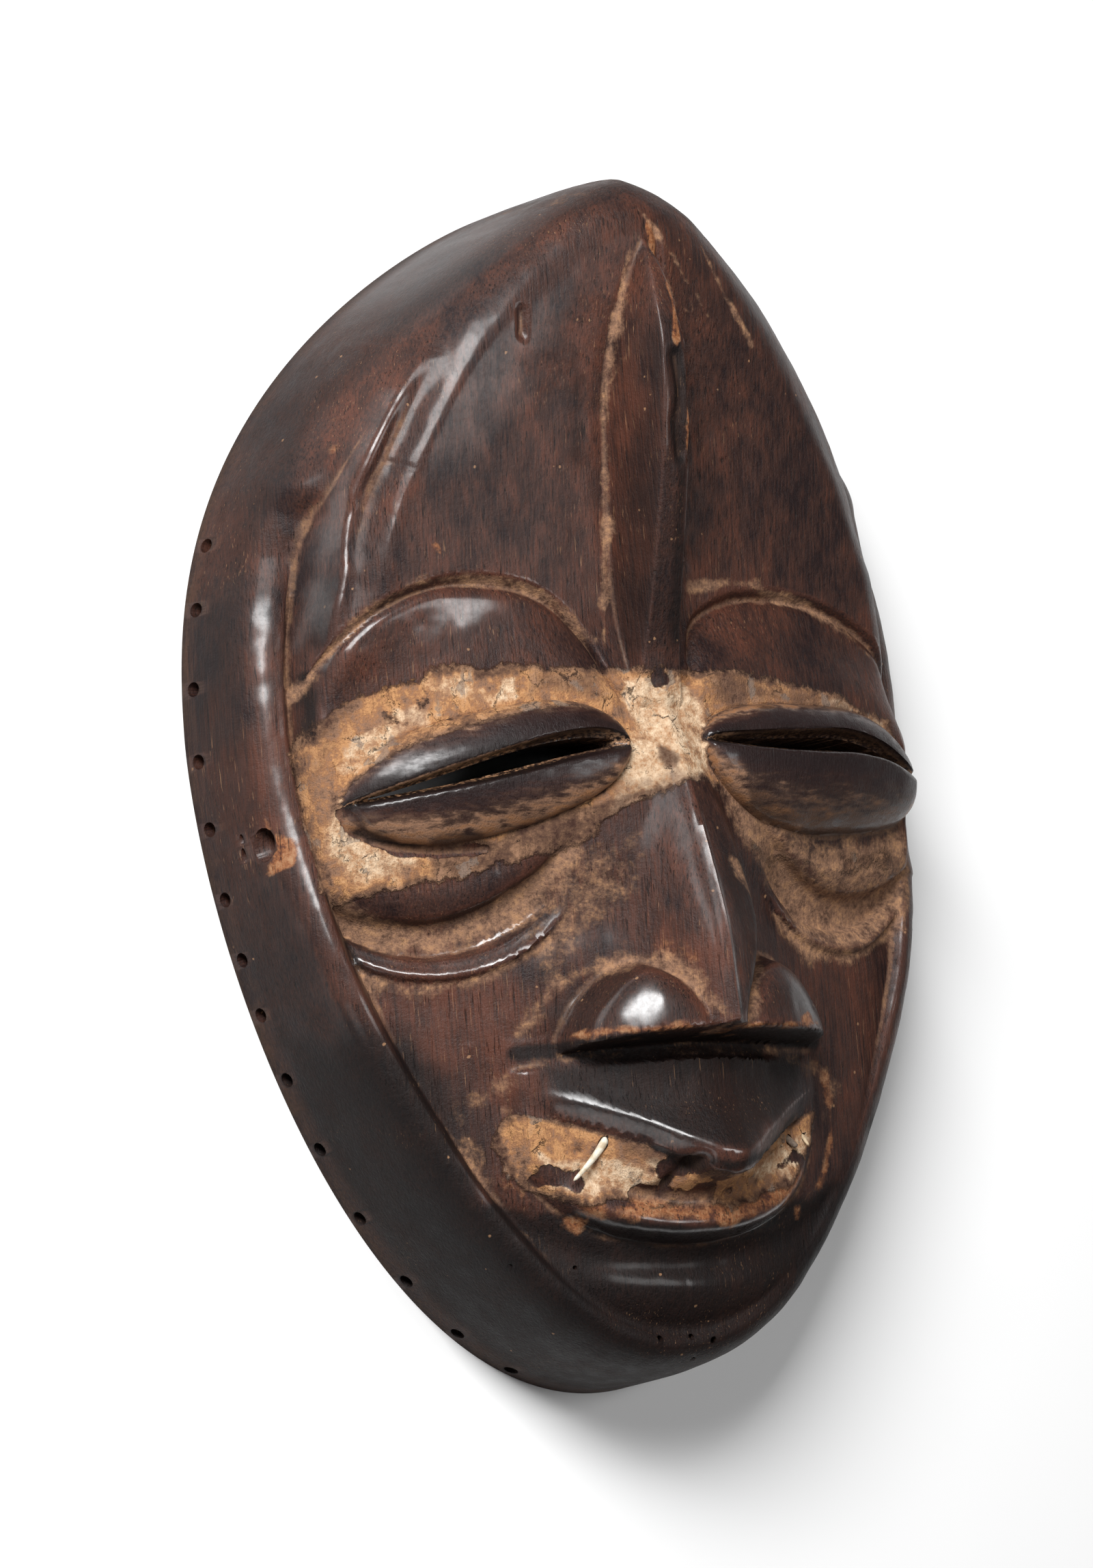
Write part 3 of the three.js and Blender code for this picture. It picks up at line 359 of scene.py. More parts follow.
@dataclass(frozen=True)
class Carving:
    """The carved form: the height of the face, and of the hollow behind it, over any plan point."""

    outline: Outline = Outline()
    centre: Span = (0.0, -12.0)
    rim_flat: float = 6.0
    hollow_depth: float = 29.0
    hollow_roundness: float = 2.8
    channel_y: float = -30.0
    channel_depth: float = 10.0
    channel_half_width: float = 15.0
    channel_half_length: float = 28.0
    forehead_rounding: float = 18.0
    forehead_reach: float = 1.4
    forehead_side_lift: float = 0.4
    ridge_foot: Span = (20, 40)
    ridge_top: Span = (94, 64)
    ridge_width: float = 2.6
    ridge_hollow_share: float = 0.5
    ridge_hollow_shift: float = 5.4
    ridge_hollow_width: float = 3.0
    keel_foot_y: float = 13.0
    keel_top_slope: float = 0.12
    keel_side_slope: float = 3.4
    keel_rounding: float = 1.2
    keel_joint: float = 0.8
    brow_step: float = 1.4
    brow_blend: Span = (-16, -1)
    brow_swell: float = 1.3
    brow_swell_width: float = 3.0
    brow_swell_fade: Span = (-20, -6)
    brow_cut_depth: float = 0.8
    brow_cut_shift: float = 0.2
    brow_cut_width: float = 1.2
    brow_edge: Span = (-0.4, 2)
    eye_band_y: float = 6.5
    eye_band_z: float = 44.6
    eye_band_fall: float = 0.0066
    cheek_z: float = 39.0
    cheek_top_y: float = -41.0
    cheek_top_fall: float = 0.01
    cheek_rounding: float = 4.0
    chin_y: float = -99.0
    chin_fall: float = 0.035
    nose_region: Region = Region(16, 40, 6)
    nose_foot_rounding: float = 1.2
    nose_foot: Span = (-52, -42)
    nose_rounding: float = 3.0
    nose_crest_slope: float = 0.45
    nose_crest_pinch: float = 0.5
    nose_crest_half_width: float = 1.2
    nose_cut_y: float = -52.0
    nose_cut_z: float = 64.2
    nose_cut_slope: float = 8.0
    nose_cut_rounding: float = 1.0
    wing_region: Region = Region(-30, 40, 0.9)
    lip_region: Region = Region(-52, 42, 1.4)
    lip_root_y: float = -55.0
    lip_reach: float = 1.6
    lip_thickness: float = 4.0
    lip_bevel: float = 0.5
    lip_bevel_rise: float = 0.5
    lip_bevel_rounding: float = 0.9
    lip_front_slope: float = 9.0
    lip_front_rounding: float = 1.6
    lower_lip_region: Region = Region(-58, 46, 0.8)
    lower_lip_y: float = -66.0
    lower_lip_z: float = 45.6
    lower_lip_length: float = 28.6
    lower_lip_half_width: float = 39.4
    lower_lip_power: float = 2.3
    lower_lip_scale: float = 34.0
    lower_lip_fall: float = 0.0085
    lower_lip_foot: float = 9.0
    lower_lip_slope: float = 2.4
    lower_lip_rounding: float = 4.0
    bed_depth: float = 2.0
    bed_edge: Span = (5, 12)
    bed_swell: float = 7.5
    bed_swell_edge: Span = (9, 20)
    bed_swell_width: float = 20.0
    lid_power: float = 2.4
    lid_corner_power: float = 0.6
    slit_edge: Span = (-0.9, 0.5)
    slit_depth: float = 0.9
    under_eye_from: Span = (20, 30)
    fold_depth: float = 2.4
    fold_edge: Span = (0.9, -0.9)
    fold_foot: Span = (-3, 0.5)
    roll_height: float = 3.0
    roll_half_width: float = 2.5
    pad_height: float = 1.6
    pad_shift: float = 3.5
    pad_width: float = 4.5
    side_lifts: tuple[Triple, ...] = ((10, 38, 60), (90, 52, 84))
    side_rounding: float = 3.0
    chin_groove_depth: float = 1.5
    chin_groove_shift: float = 3.8
    chin_groove_width: float = 4.0
    chin_groove_fade: Span = (-78, -90)
    crest_flat: float = 0.6
    crest_rounding: float = 1.2
    crest_fall: float = 1.15
    crest_power: float = 1.15
    border_rounding: Span = (0.9, 7)
    border_fade: Span = (34, 62)
    crest_height: Course = course(
        (-121.5, 35.5), (-112, 35.5), (-95, 33.5), (-75, 30.5), (-55, 28), (-42, 26.8), (-28, 24.6),
        (-14, 21.5), (0, 19.6), (22, 18.8), (45, 18.2), (60, 17), (75, 13), (100, 6), (121.5, 4),
    )
    crest_inset: Course = course(
        (-121.5, 8.3), (-100, 10), (-75, 11), (-55, 10.3), (-40, 9.6), (-28, 10), (-12, 11.4), (20, 12.2),
        (60, 12), (95, 9.6), (110, 7.6), (121.5, 7),
    )
    wall_lean: Course = course(
        (-121.5, 2.6), (-90, 5), (-40, 4.6), (20, 5), (60, 4.6), (95, 2.2), (121.5, 0.2),
    )
    side_slope: Course = course(
        (-121.5, 0.65), (-80, 0.55), (-45, 0.6), (-32, 1), (-22, 3.6), (-10, 4.6), (22, 4.4), (40, 3.6)
    )
    forehead_middle: Course = course(
        (15, 44.5), (20, 42.3), (31, 40.4), (45, 41), (58, 42.4), (72, 44), (85, 46.8), (98, 50.2),
        (106, 51.8), (112, 51), (121.5, 45),
    )
    forehead_half_width: Course = course(
        (0, 68), (17, 66), (28, 64), (40, 61), (46, 58.6), (60, 53), (73, 45.7), (90, 34.5), (101, 26.6),
        (112, 17.4), (121.5, 6),
    )
    forehead_edge: Course = course(
        (15, 29), (28, 32), (40, 34.5), (46, 35.5), (60, 38.1), (73, 40.7), (90, 43.9), (101, 44.7),
        (112, 43.7), (121.5, 40.5),
    )
    forehead_side_slope: Course = course((40, 3.4), (60, 2.5), (75, 2.1), (95, 2))
    temple_ridge: Course = course(
        (20, 69), (27, 67.6), (40, 65), (53.8, 61.4), (63, 57.4), (73.7, 51.6), (83, 45.4),
    )
    keel_height: Course = course(
        (0, 44), (7, 45.2), (16, 45.8), (24, 47.4), (36, 51.1), (50, 55), (63, 58.2), (76, 59.9), (86, 59.7),
        (97, 56.4), (103, 53.4), (106, 51.6), (110, 48),
    )
    keel_half_width: Course = course((0, 5), (18, 4.4), (30, 3.6), (60, 3), (90, 2.4), (100, 1.3), (105, 0.2))
    nose_height: Course = course(
        (-60, 64.6), (-51.5, 64), (-46, 63.6), (-32, 61.9), (-18.5, 57.9), (-4.4, 52.6), (0, 50.6), (7, 46.5),
        (14, 44),
    )
    nose_swell_height: Course = course((-60, 0), (-52, 8), (-45, 10), (-25, 10.5), (-8, 7), (4, 3), (12, 0))
    nose_swell_width: Course = course((-56, 25), (-20, 24), (0, 15), (10, 12))
    lip_root_z: Course = course((0, 45.5), (12, 43), (24, 38.8), (33, 35), (40, 30))
    pad_edge: Course = course(
        (20, -11), (24, -15), (28, -18.8), (33, -22.4), (38, -25.2), (44, -27.2), (51, -27.6), (58, -26.6),
        (64, -24.4), (68, -22),
    )
    roll_middle: Course = course(
        (18, -19.5), (22, -24.5), (27, -29.6), (33, -33.8), (40, -36.4), (47, -37), (54, -35.8), (60, -33),
        (66, -28.6), (69, -26),
    )

    def from_rim(self, x: Array, y: Array) -> tuple[Array, Array]:
        """How far plan points lie in from the rim, and how far along the mask the nearest rim point is."""
        loop = self.outline.loop(RIM_POINTS)
        ax, ay = loop.T
        dx, dy = (np.roll(loop, -1, 0) - loop).T
        square = dx * dx + dy * dy
        inset, near_y = np.empty(len(x)), np.empty(len(x))
        for start in range(0, len(x), BATCH):
            part = slice(start, start + BATCH)
            px, py = x[part, None] - ax, y[part, None] - ay
            t = clamp((px * dx + py * dy) / square)
            gap = (px - t * dx) ** 2 + (py - t * dy) ** 2
            best = gap.argmin(1)
            rows = np.arange(len(best))
            inset[part] = np.sqrt(gap[rows, best])
            near_y[part] = ay[best] + t[rows, best] * dy[best]
        return inset, near_y

    def forehead(self, out: Array, y: Array, half: Half) -> Array:
        """The broad forehead, its rolled edges and the thin ridge that runs down each temple."""
        middle, edge = self.forehead_middle.at(y), self.forehead_edge.at(y)
        width = self.forehead_half_width.at(y)
        across = clamp(out / np.maximum(width, 1), 0, self.forehead_reach)
        front = middle - (middle - edge) * across**2
        side_top = edge + self.forehead_side_lift * self.forehead_rounding
        side = side_top + (width - out) * self.forehead_side_slope.at(y)
        fade = rise(*self.ridge_foot, y) * rise(*self.ridge_top, y)
        off = out - self.temple_ridge.at(y)
        beside = bell((off + self.ridge_hollow_shift) / self.ridge_hollow_width)
        ridge = bell(off / self.ridge_width) - self.ridge_hollow_share * beside
        return trim(front, side, self.forehead_rounding) + half.temple_ridge_height * ridge * fade

    def keel(self, out: Array, y: Array) -> Array:
        """The narrow keel down the middle of the forehead."""
        steep = (out - self.keel_half_width.at(y)) * self.keel_side_slope
        return self.keel_height.at(y) - join(self.keel_top_slope * out, steep, self.keel_rounding)

    def cheeks(self, out: Array, y: Array, half: Half) -> Array:
        """The swelling band across the eyes, the cheeks below it and the low swell round the nose."""
        band = self.eye_band_z - half.brow_fall * out**2 - self.eye_band_fall * (y - self.eye_band_y) ** 2
        below = self.cheek_z - half.cheek_fall * out**2
        below = below - self.chin_fall * np.maximum(self.chin_y - y, 0) ** 2
        below = below - self.cheek_top_fall * np.maximum(y - self.cheek_top_y, 0) ** 2
        swell = self.nose_swell_height.at(y) * bell(out / self.nose_swell_width.at(y))
        return join(band, below, self.cheek_rounding) + swell

    def nose_cut(self, y: Array) -> Array:
        """The steep plane that cuts the nose off underneath."""
        return self.nose_cut_z + (y - self.nose_cut_y) * self.nose_cut_slope

    def nose_ridge(self, out: Array, y: Array, half: Half) -> Array:
        """The ridge of the nose, with a broad shoulder on each side."""
        shoulder = half.nose_shoulder.at(y)
        steep = self.nose_crest_slope * shoulder + (out - shoulder) * half.nose_flank_slope
        fall = join(self.nose_crest_slope * out, steep, self.nose_rounding)
        fall = fall + self.nose_crest_pinch * np.minimum(out, self.nose_crest_half_width)
        return trim(self.nose_height.at(y) - fall, self.nose_cut(y), self.nose_cut_rounding)

    def upper_lip(self, out: Array, y: Array, half: Half) -> Array:
        """The upper lip: a wedge that comes forward to a point, with a thick bevelled edge."""
        edge_y, edge_z = half.lip_edge_y.at(out), half.lip_edge_z.at(out)
        back = clamp((y - edge_y) / (self.lip_root_y - edge_y), 0, self.lip_reach)
        top = mix(edge_z, self.lip_root_z.at(out), back)
        bevel = edge_z + self.lip_bevel_rise + (y - edge_y) * self.lip_bevel
        front = edge_z + (y - edge_y + self.lip_thickness) * self.lip_front_slope
        return trim(trim(top, bevel, self.lip_bevel_rounding), front, self.lip_front_rounding)

    def inside_lower_lip(self, out: Array, y: Array) -> Array:
        """How far a place lies inside the lower lip's outer edge."""
        power = self.lower_lip_power
        v = np.minimum((y - self.lower_lip_y) / self.lower_lip_length, 0)
        share = ((out / self.lower_lip_half_width) ** power + (-v) ** power) ** (1 / power)
        return (1 - share) * self.lower_lip_scale

    def lower_lip(self, out: Array, y: Array) -> Array:
        """The lower lip: a rolled edge round the shallow bed that the teeth stand in."""
        inside = self.inside_lower_lip(out, y)
        roll = self.lower_lip_z - self.lower_lip_fall * out**2
        swell = self.bed_swell * rise(*self.bed_swell_edge, inside) * bell(out / self.bed_swell_width)
        bed = roll - self.bed_depth * rise(*self.bed_edge, inside) + swell
        outside = roll - self.lower_lip_foot + inside * self.lower_lip_slope
        return trim(bed, outside, self.lower_lip_rounding)

    def lids(self, out: Array, y: Array, eye: Eye) -> Array:
        """What the swollen lids of one eye add to the surface, with the slit sunk between them."""
        span = eye.span(out)
        v = y - eye.slit.at(out)
        height = np.maximum(np.where(v > 0, eye.above, eye.below) * span, 1e-6)
        swell = np.where(v > 0, eye.upper_swell, eye.lower_swell)
        dome = np.sqrt(clamp(1 - (np.abs(v) / height) ** self.lid_power)) * swell
        gap = eye.gap.at(out) * span
        sunk = rise(*self.slit_edge, v) * (1 - rise(*self.slit_edge, v - gap))
        added = dome * span**self.lid_corner_power - self.slit_depth * swell * span * sunk
        return np.where((np.abs(v) < height) & (span > 0), added, 0.0)

    def brow(self, out: Array, y: Array, half: Half) -> Array:
        """The forehead down to the cheeks, with the step and the cut line along the brow between them."""
        above = y - half.brow_arch.at(out)
        forehead = self.forehead(out, y, half)
        lowered = forehead - self.brow_step
        skin = mix(self.cheeks(out, y, half), lowered, rise(*self.brow_blend, above))
        swell = 1 - np.exp(np.minimum(above, 0) / self.brow_swell_width)
        skin = skin + self.brow_swell * swell * rise(*self.brow_swell_fade, above)
        skin = skin - self.brow_cut_depth * bell((above + self.brow_cut_shift) / self.brow_cut_width)
        return mix(skin, forehead, rise(*self.brow_edge, above))

    def under_eye(self, skin: Array, out: Array, y: Array, half: Half) -> Array:
        """The surface with the fold, the roll and the pad under one eye."""
        below_pad = y - self.pad_edge.at(out) - half.under_eye_shift
        off_roll = y - self.roll_middle.at(out) - half.under_eye_shift
        reach = rise(*self.under_eye_from, out)
        fold = self.fold_depth * rise(*self.fold_edge, below_pad) * rise(*self.fold_foot, off_roll)
        roll = self.roll_height * np.sqrt(clamp(1 - (off_roll / self.roll_half_width) ** 2))
        pad = self.pad_height * bell((below_pad - self.pad_shift) / self.pad_width)
        return skin - fold * reach + roll * reach + pad * reach

    def half_height(self, out: Array, y: Array, inset: Array, near_y: Array, half: Half) -> Array:
        """The height of one half of the face.

        Args:
            out: Distances from the middle.
            y: Places along the mask.
            inset: Distances in from the rim.
            near_y: Where along the mask the nearest rim point is.
            half: What this half has of its own.

        Returns:
            The heights above the rim's plane.
        """
        crest_inset = self.crest_inset.at(near_y)
        crest = self.crest_height.at(near_y) + half.crest_lift.at(near_y)
        skin = self.under_eye(self.brow(out, y, half), out, y, half)
        past_groove = inset - crest_inset - half.groove_inset
        limit = crest - half.groove_depth.at(near_y) + past_groove * self.side_slope.at(near_y)
        for by, start, end in self.side_lifts:
            limit = limit + by * rise(start, end, y)
        skin = trim(skin, limit, self.side_rounding)

        skin = np.where(y > self.keel_foot_y, join(skin, self.keel(out, y), self.keel_joint), skin)
        nose_joint = mix(self.nose_foot_rounding, self.nose_region.rounding, rise(*self.nose_foot, y))
        wing = trim(half.wing.height(out, y), self.nose_cut(y), self.nose_cut_rounding)
        parts = (
            (self.nose_region, self.nose_ridge(out, y, half), nose_joint),
            (self.wing_region, wing, self.wing_region.rounding),
            (self.lower_lip_region, self.lower_lip(out, y), self.lower_lip_region.rounding),
            (self.lip_region, self.upper_lip(out, y, half), self.lip_region.rounding),
        )
        for region, part, rounding in parts:
            skin = np.where(region.here(out, y), join(skin, part, rounding), skin)
        groove = bell((self.inside_lower_lip(out, y) + self.chin_groove_shift) / self.chin_groove_width)
        skin = skin - self.chin_groove_depth * groove * rise(*self.chin_groove_fade, y)
        skin = skin + self.lids(out, y, half.eye)
        past = join(inset - crest_inset - self.crest_flat, np.zeros_like(inset), self.crest_rounding)
        border = crest - self.crest_fall * past**self.crest_power
        return join(skin, border, mix(*self.border_rounding, rise(*self.border_fade, near_y)))

    def face_height(self, x: Array, y: Array) -> Array:
        """The height of the carved face over plan points."""
        inset, near_y = self.from_rim(x, y)
        height = np.empty(len(x))
        for half, here in ((LEFT, x < 0), (RIGHT, x >= 0)):
            height[here] = self.half_height(np.abs(x[here]), y[here], inset[here], near_y[here], half)
        return height

    def share_out(self, x: Array, y: Array, loop: Array) -> Array:
        """Where plan points lie between the middle of the face, at 0, and a loop round it, at 1."""
        a = loop - self.centre
        b = np.roll(a, -1, 0)
        area = a[:, 0] * b[:, 1] - a[:, 1] * b[:, 0]
        share = np.zeros(len(x))
        for start in range(0, len(x), BATCH):
            part = slice(start, start + BATCH)
            px, py = x[part, None] - self.centre[0], y[part, None] - self.centre[1]
            s = (px * b[:, 1] - py * b[:, 0]) / area
            t = (a[:, 0] * py - a[:, 1] * px) / area
            share[part] = np.where((s >= -1e-9) & (t >= -1e-9), s + t, 0).max(1)
        return np.minimum(share, 1)

    def hollow_height(self, x: Array, y: Array, lip: Array) -> Array:
        """The height of the hollow's roof over plan points inside its lip."""
        bowl = self.hollow_depth * (1 - self.share_out(x, y, lip) ** self.hollow_roundness)
        channel = bell(x / self.channel_half_width) * bell((y - self.channel_y) / self.channel_half_length)
        return bowl + self.channel_depth * channel

    def half_of(self, x: Array, read: Callable[[Half, Array], Array]) -> Array:
        """A measure taken from the left half where x is negative, and otherwise from the right."""
        return np.where(x < 0, read(LEFT, np.abs(x)), read(RIGHT, np.abs(x)))

    def brow_line(self, offset: float) -> Measure:
        """The line that runs along both brows at a distance from them."""
        def measure(x: Array, y: Array) -> Array:
            value = y - self.half_of(x, lambda half, out: half.brow_arch.at(out)) - offset
            return np.where((np.abs(x) > 9.5) & (np.abs(x) < 69), value, np.nan)
        return measure

    def lid_line(self, place: Callable[[Eye, Array], Array]) -> Measure:
        """The line along both eyes at a distance from their slits."""
        def measure(x: Array, y: Array) -> Array:
            span = self.half_of(x, lambda half, out: half.eye.span(out))
            middle = self.half_of(x, lambda half, out: half.eye.slit.at(out))
            reach = self.half_of(x, lambda half, out: place(half.eye, out))
            return np.where(span > 0.34, y - middle - reach, np.nan)
        return measure

    def lip_line(self, drop: float) -> Measure:
        """The upper lip's edge, or the foot of its front below that."""
        def measure(x: Array, y: Array) -> Array:
            edge_y = self.half_of(x, lambda half, out: half.lip_edge_y.at(out))
            return np.where(np.abs(x) < 37, y - edge_y + drop, np.nan)
        return measure

    def under_eye_line(self, line: Course, offset: float) -> Measure:
        """A line along the folds under both eyes."""
        def measure(x: Array, y: Array) -> Array:
            shift = np.where(x < 0, LEFT.under_eye_shift, RIGHT.under_eye_shift)
            value = y - line.at(np.abs(x)) - shift - offset
            return np.where((np.abs(x) > 24) & (np.abs(x) < 66), value, np.nan)
        return measure

    def carved_lines(self) -> list[Measure]:
        """The edges of the carving, each a measure that is zero on its line."""
        def level(height: float) -> Measure:
            return lambda x, y: np.where(np.abs(x) < 33, y - height, np.nan)

        def lip_roll(offset: float) -> Measure:
            return lambda x, y: np.where(
                (y > -100) & (y < -64), self.inside_lower_lip(np.abs(x), y) - offset, np.nan
            )

        return [
            lambda x, y: np.where((y > -110) & (y < 118), x, np.nan),
            self.brow_line(-0.4),
            self.brow_line(2),
            self.lid_line(lambda eye, out: eye.above * eye.span(out)),
            self.lid_line(lambda eye, out: -eye.below * eye.span(out)),
            self.lid_line(lambda eye, out: np.full_like(out, -0.7)),
            self.lid_line(lambda eye, out: eye.gap.at(out) * eye.span(out) + 0.4),
            *(level(self.nose_cut_y - step) for step in (0.2, 1, 1.8, 2.6, 3.4)),
            *(self.lip_line(drop) for drop in (0, 1.6, 3.6, 4.4, 5.2)),
            lip_roll(0),
            lip_roll(3.6),
            lambda x, y: np.where((y > 20) & (y < 102), np.abs(x) - self.keel_half_width.at(y), np.nan),
            self.under_eye_line(self.pad_edge, 0.6),
            self.under_eye_line(self.roll_middle, 2.2),
            self.under_eye_line(self.roll_middle, -2.4),
        ]


def square_ring(middle: int, out: int) -> Array:
    """The grid positions round the square ring that lies a number of steps from a grid's middle."""
    k = np.arange(out)
    sides = [
        (np.full(out, out), k),
        (out - k, np.full(out, out)),
        (-k, np.full(out, out)),
        (np.full(out, -out), out - k),
        (np.full(out, -out), -k),
        (k - out, np.full(out, -out)),
        (k, np.full(out, -out)),
        (np.full(out, out), k - out),
    ]
    return middle + np.concatenate([np.stack(side, -1) for side in sides])


def refine(values: Array, factor: int) -> Array:
    """Puts smooth steps between the rows of a grid, a number of them for each row."""
    count = len(values)
    t = np.arange((count - 1) * factor + 1) / factor
    i = np.minimum(t.astype(int), count - 2)
    u = (t - i)[:, None, None]
    first, last = 2 * values[:1] - values[1:2], 2 * values[-1:] - values[-2:-1]
    p = np.concatenate([first, values, last])
    a, b, c, d = p[i], p[i + 1], p[i + 2], p[i + 3]
    cubic = (3 * (b - c) + d - a) * u + (2 * a - 5 * b + 4 * c - d)
    return b + 0.5 * u * ((c - a) + u * cubic)


@dataclass
class Plan:
    """A flat drawing in triangles whose edges can be made to follow the carved lines."""

    points: Array
    faces: Array
    border: Array
    held: Array = field(init=False)

    SETTLING_ROUNDS: ClassVar[int] = 50
    SETTLING_SHARE: ClassVar[float] = 0.7
    STEEPEST: ClassVar[float] = 4.0
    NEAR_SHARE: ClassVar[float] = 0.4
    TINY: ClassVar[float] = 0.02

    def __post_init__(self) -> None:
        """Holds the border where it is."""
        self.held = np.zeros(len(self.points), bool)
        self.held[self.border] = True

    @classmethod
    def settled(
        cls, lines: int, factor: int, loop: Array, height: Measure, detail: Measure, centre: Span
    ) -> "Plan":
        """Lays a square grid inside a loop so that steep and detailed places get more of its lines.

        Args:
            lines: How many lines of the grid are settled each way.
            factor: How many steps each of its cells is then divided into.
            loop: The border, with one point for each step round the finished grid.
            height: The surface's height over plan points.
            detail: How closely the lines should lie.
            centre: Where the grid's middle is laid at first.

        Returns:
            The plan of triangles.
        """
        middle = (lines - 1) // 2
        grid = np.tile(np.array(centre, float), (lines, lines, 1))
        for out in range(1, middle + 1):
            ring = square_ring(middle, out)
            at = np.arange(len(ring)) / len(ring) * len(loop)
            low = at.astype(int)
            on_loop = mix(loop[low % len(loop)], loop[(low + 1) % len(loop)], (at - low)[:, None])
            grid[ring[:, 0], ring[:, 1]] = mix(np.array(centre), on_loop, out / middle)

        def pull(a: Array, b: Array, za: Array, zb: Array) -> Array:
            length = np.linalg.norm(a - b, axis=-1) + 1e-6
            steep = np.minimum(np.abs(za - zb) / length, cls.STEEPEST)
            halfway = (a + b) / 2
            return np.sqrt(1 + steep**2) * detail(halfway[..., 0], halfway[..., 1])

        for _ in range(cls.SETTLING_ROUNDS):
            z = height(grid[..., 0].ravel(), grid[..., 1].ravel()).reshape(lines, lines)
            across = pull(grid[:-1], grid[1:], z[:-1], z[1:])[..., None]
            up = pull(grid[:, :-1], grid[:, 1:], z[:, :-1], z[:, 1:])[..., None]
            total = across[:-1, 1:-1] + across[1:, 1:-1] + up[1:-1, :-1] + up[1:-1, 1:]
            moved = across[:-1, 1:-1] * grid[:-2, 1:-1] + across[1:, 1:-1] * grid[2:, 1:-1]
            moved = moved + up[1:-1, :-1] * grid[1:-1, :-2] + up[1:-1, 1:] * grid[1:-1, 2:]
            grid[1:-1, 1:-1] = mix(grid[1:-1, 1:-1], moved / total, cls.SETTLING_SHARE)

        fine = refine(refine(grid, factor).transpose(1, 0, 2), factor).transpose(1, 0, 2)
        count = (lines - 1) * factor + 1
        ring = square_ring((count - 1) // 2, (count - 1) // 2)
        fine[ring[:, 0], ring[:, 1]] = loop
        z = height(fine[..., 0].ravel(), fine[..., 1].ravel()).reshape(count, count, 1)
        solid = np.concatenate([fine, z], -1)
        number = np.arange(count * count).reshape(count, count)
        a, b, c, d = number[:-1, :-1], number[1:, :-1], number[1:, 1:], number[:-1, 1:]
        first = np.linalg.norm(solid[:-1, :-1] - solid[1:, 1:], axis=-1)
        other = np.linalg.norm(solid[1:, :-1] - solid[:-1, 1:], axis=-1)
        short = (first < other)[..., None]
        one = np.where(short, columns(a, b, c), columns(a, b, d))
        two = np.where(short, columns(a, c, d), columns(b, c, d))
        faces = np.concatenate([one.reshape(-1, 3), two.reshape(-1, 3)])
        return cls(fine.reshape(-1, 2), faces, ring[:, 0] * count + ring[:, 1])

    def even_out(self, rounds: int) -> None:
        """Moves each free point towards the middle of its neighbours, with the drawn lines held."""
        edges = np.unique(np.sort(edges_of(self.faces), axis=1), axis=0)
        near, far = edges.ravel(), edges[:, ::-1].ravel()
        size = len(self.points)
        count = np.bincount(near, minlength=size)[:, None]
        free = ~self.held
        for _ in range(rounds):
            total = columns(*(np.bincount(near, self.points[far, c], size) for c in (0, 1)))
            self.points[free] = mix(self.points[free], (total / count)[free], 0.5)

    def follow(self, measure: Measure) -> None:
        """Draws in the line on which a measure is zero.

        Near points move onto the line, and the edges that it still crosses are split there.

        Args:
            measure: The measure, which has no value past the line's ends.
        """
        x, y = self.points.T
        value = measure(x, y)
        edges = edges_of(self.faces)
        length = np.linalg.norm(self.points[edges[:, 0]] - self.points[edges[:, 1]], axis=1)
        room = np.full(len(self.points), np.inf)
        np.minimum.at(room, edges.ravel(), np.repeat(length, 2))
        tiny = self.TINY
        dx = (measure(x + tiny, y) - measure(x - tiny, y)) / (2 * tiny)
        dy = (measure(x, y + tiny) - measure(x, y - tiny)) / (2 * tiny)
        steep = np.hypot(dx, dy)
        near = ~self.held & (np.abs(value) < self.NEAR_SHARE * room * steep)
        shift = columns(dx, dy) * (value / steep**2)[:, None]
        self.points[near] -= shift[near]
        value[near] = 0
        self.held |= near
        self._split(value)

    def _split(self, value: Array) -> None:
        """Splits the edges whose ends lie on different sides of a line, and the faces beside them."""
        crossed = [value[self.faces[:, k]] * value[self.faces[:, (k + 1) % 3]] < 0 for k in range(3)]
        crossed = np.stack(crossed, -1)
        count = crossed.sum(1)
        touched = count > 0
        keep = self.faces[~touched]
        faces, cut, count = self.faces[touched], crossed[touched], count[touched]
        turn = np.where(count == 1, cut.argmax(1), ((~cut).argmax(1) + 1) % 3)
        rows = np.arange(len(faces))
        a, b, c = (faces[rows, (turn + k) % 3] for k in range(3))
        single = count == 1
        pairs = np.concatenate([columns(a, b), columns(b, c)[~single]])
        pairs.sort(axis=1)
        unique, where = np.unique(pairs, axis=0, return_inverse=True)
        where = where.reshape(-1) + len(self.points)
        p, q = unique.T
        share = (value[p] / (value[p] - value[q]))[:, None]
        self.points = np.concatenate([self.points, mix(self.points[p], self.points[q], share)])
        self.held = np.concatenate([self.held, np.ones(len(unique), bool)])
        first = where[: len(faces)]
        second = np.zeros(len(faces), int)
        second[~single] = where[len(faces):]
        made = [columns(a, first, c)[single], columns(first, b, c)[single]]
        a, b, c, first, second = (v[~single] for v in (a, b, c, first, second))
        made.append(columns(first, b, second))
        span = np.linalg.norm(self.points[a] - self.points[second], axis=1)
        short = (span < np.linalg.norm(self.points[first] - self.points[c], axis=1))[:, None]
        made.append(np.where(short, columns(a, first, second), columns(a, first, c)))
        made.append(np.where(short, columns(a, second, c), columns(first, second, c)))
        self.faces = np.concatenate([keep, *made])


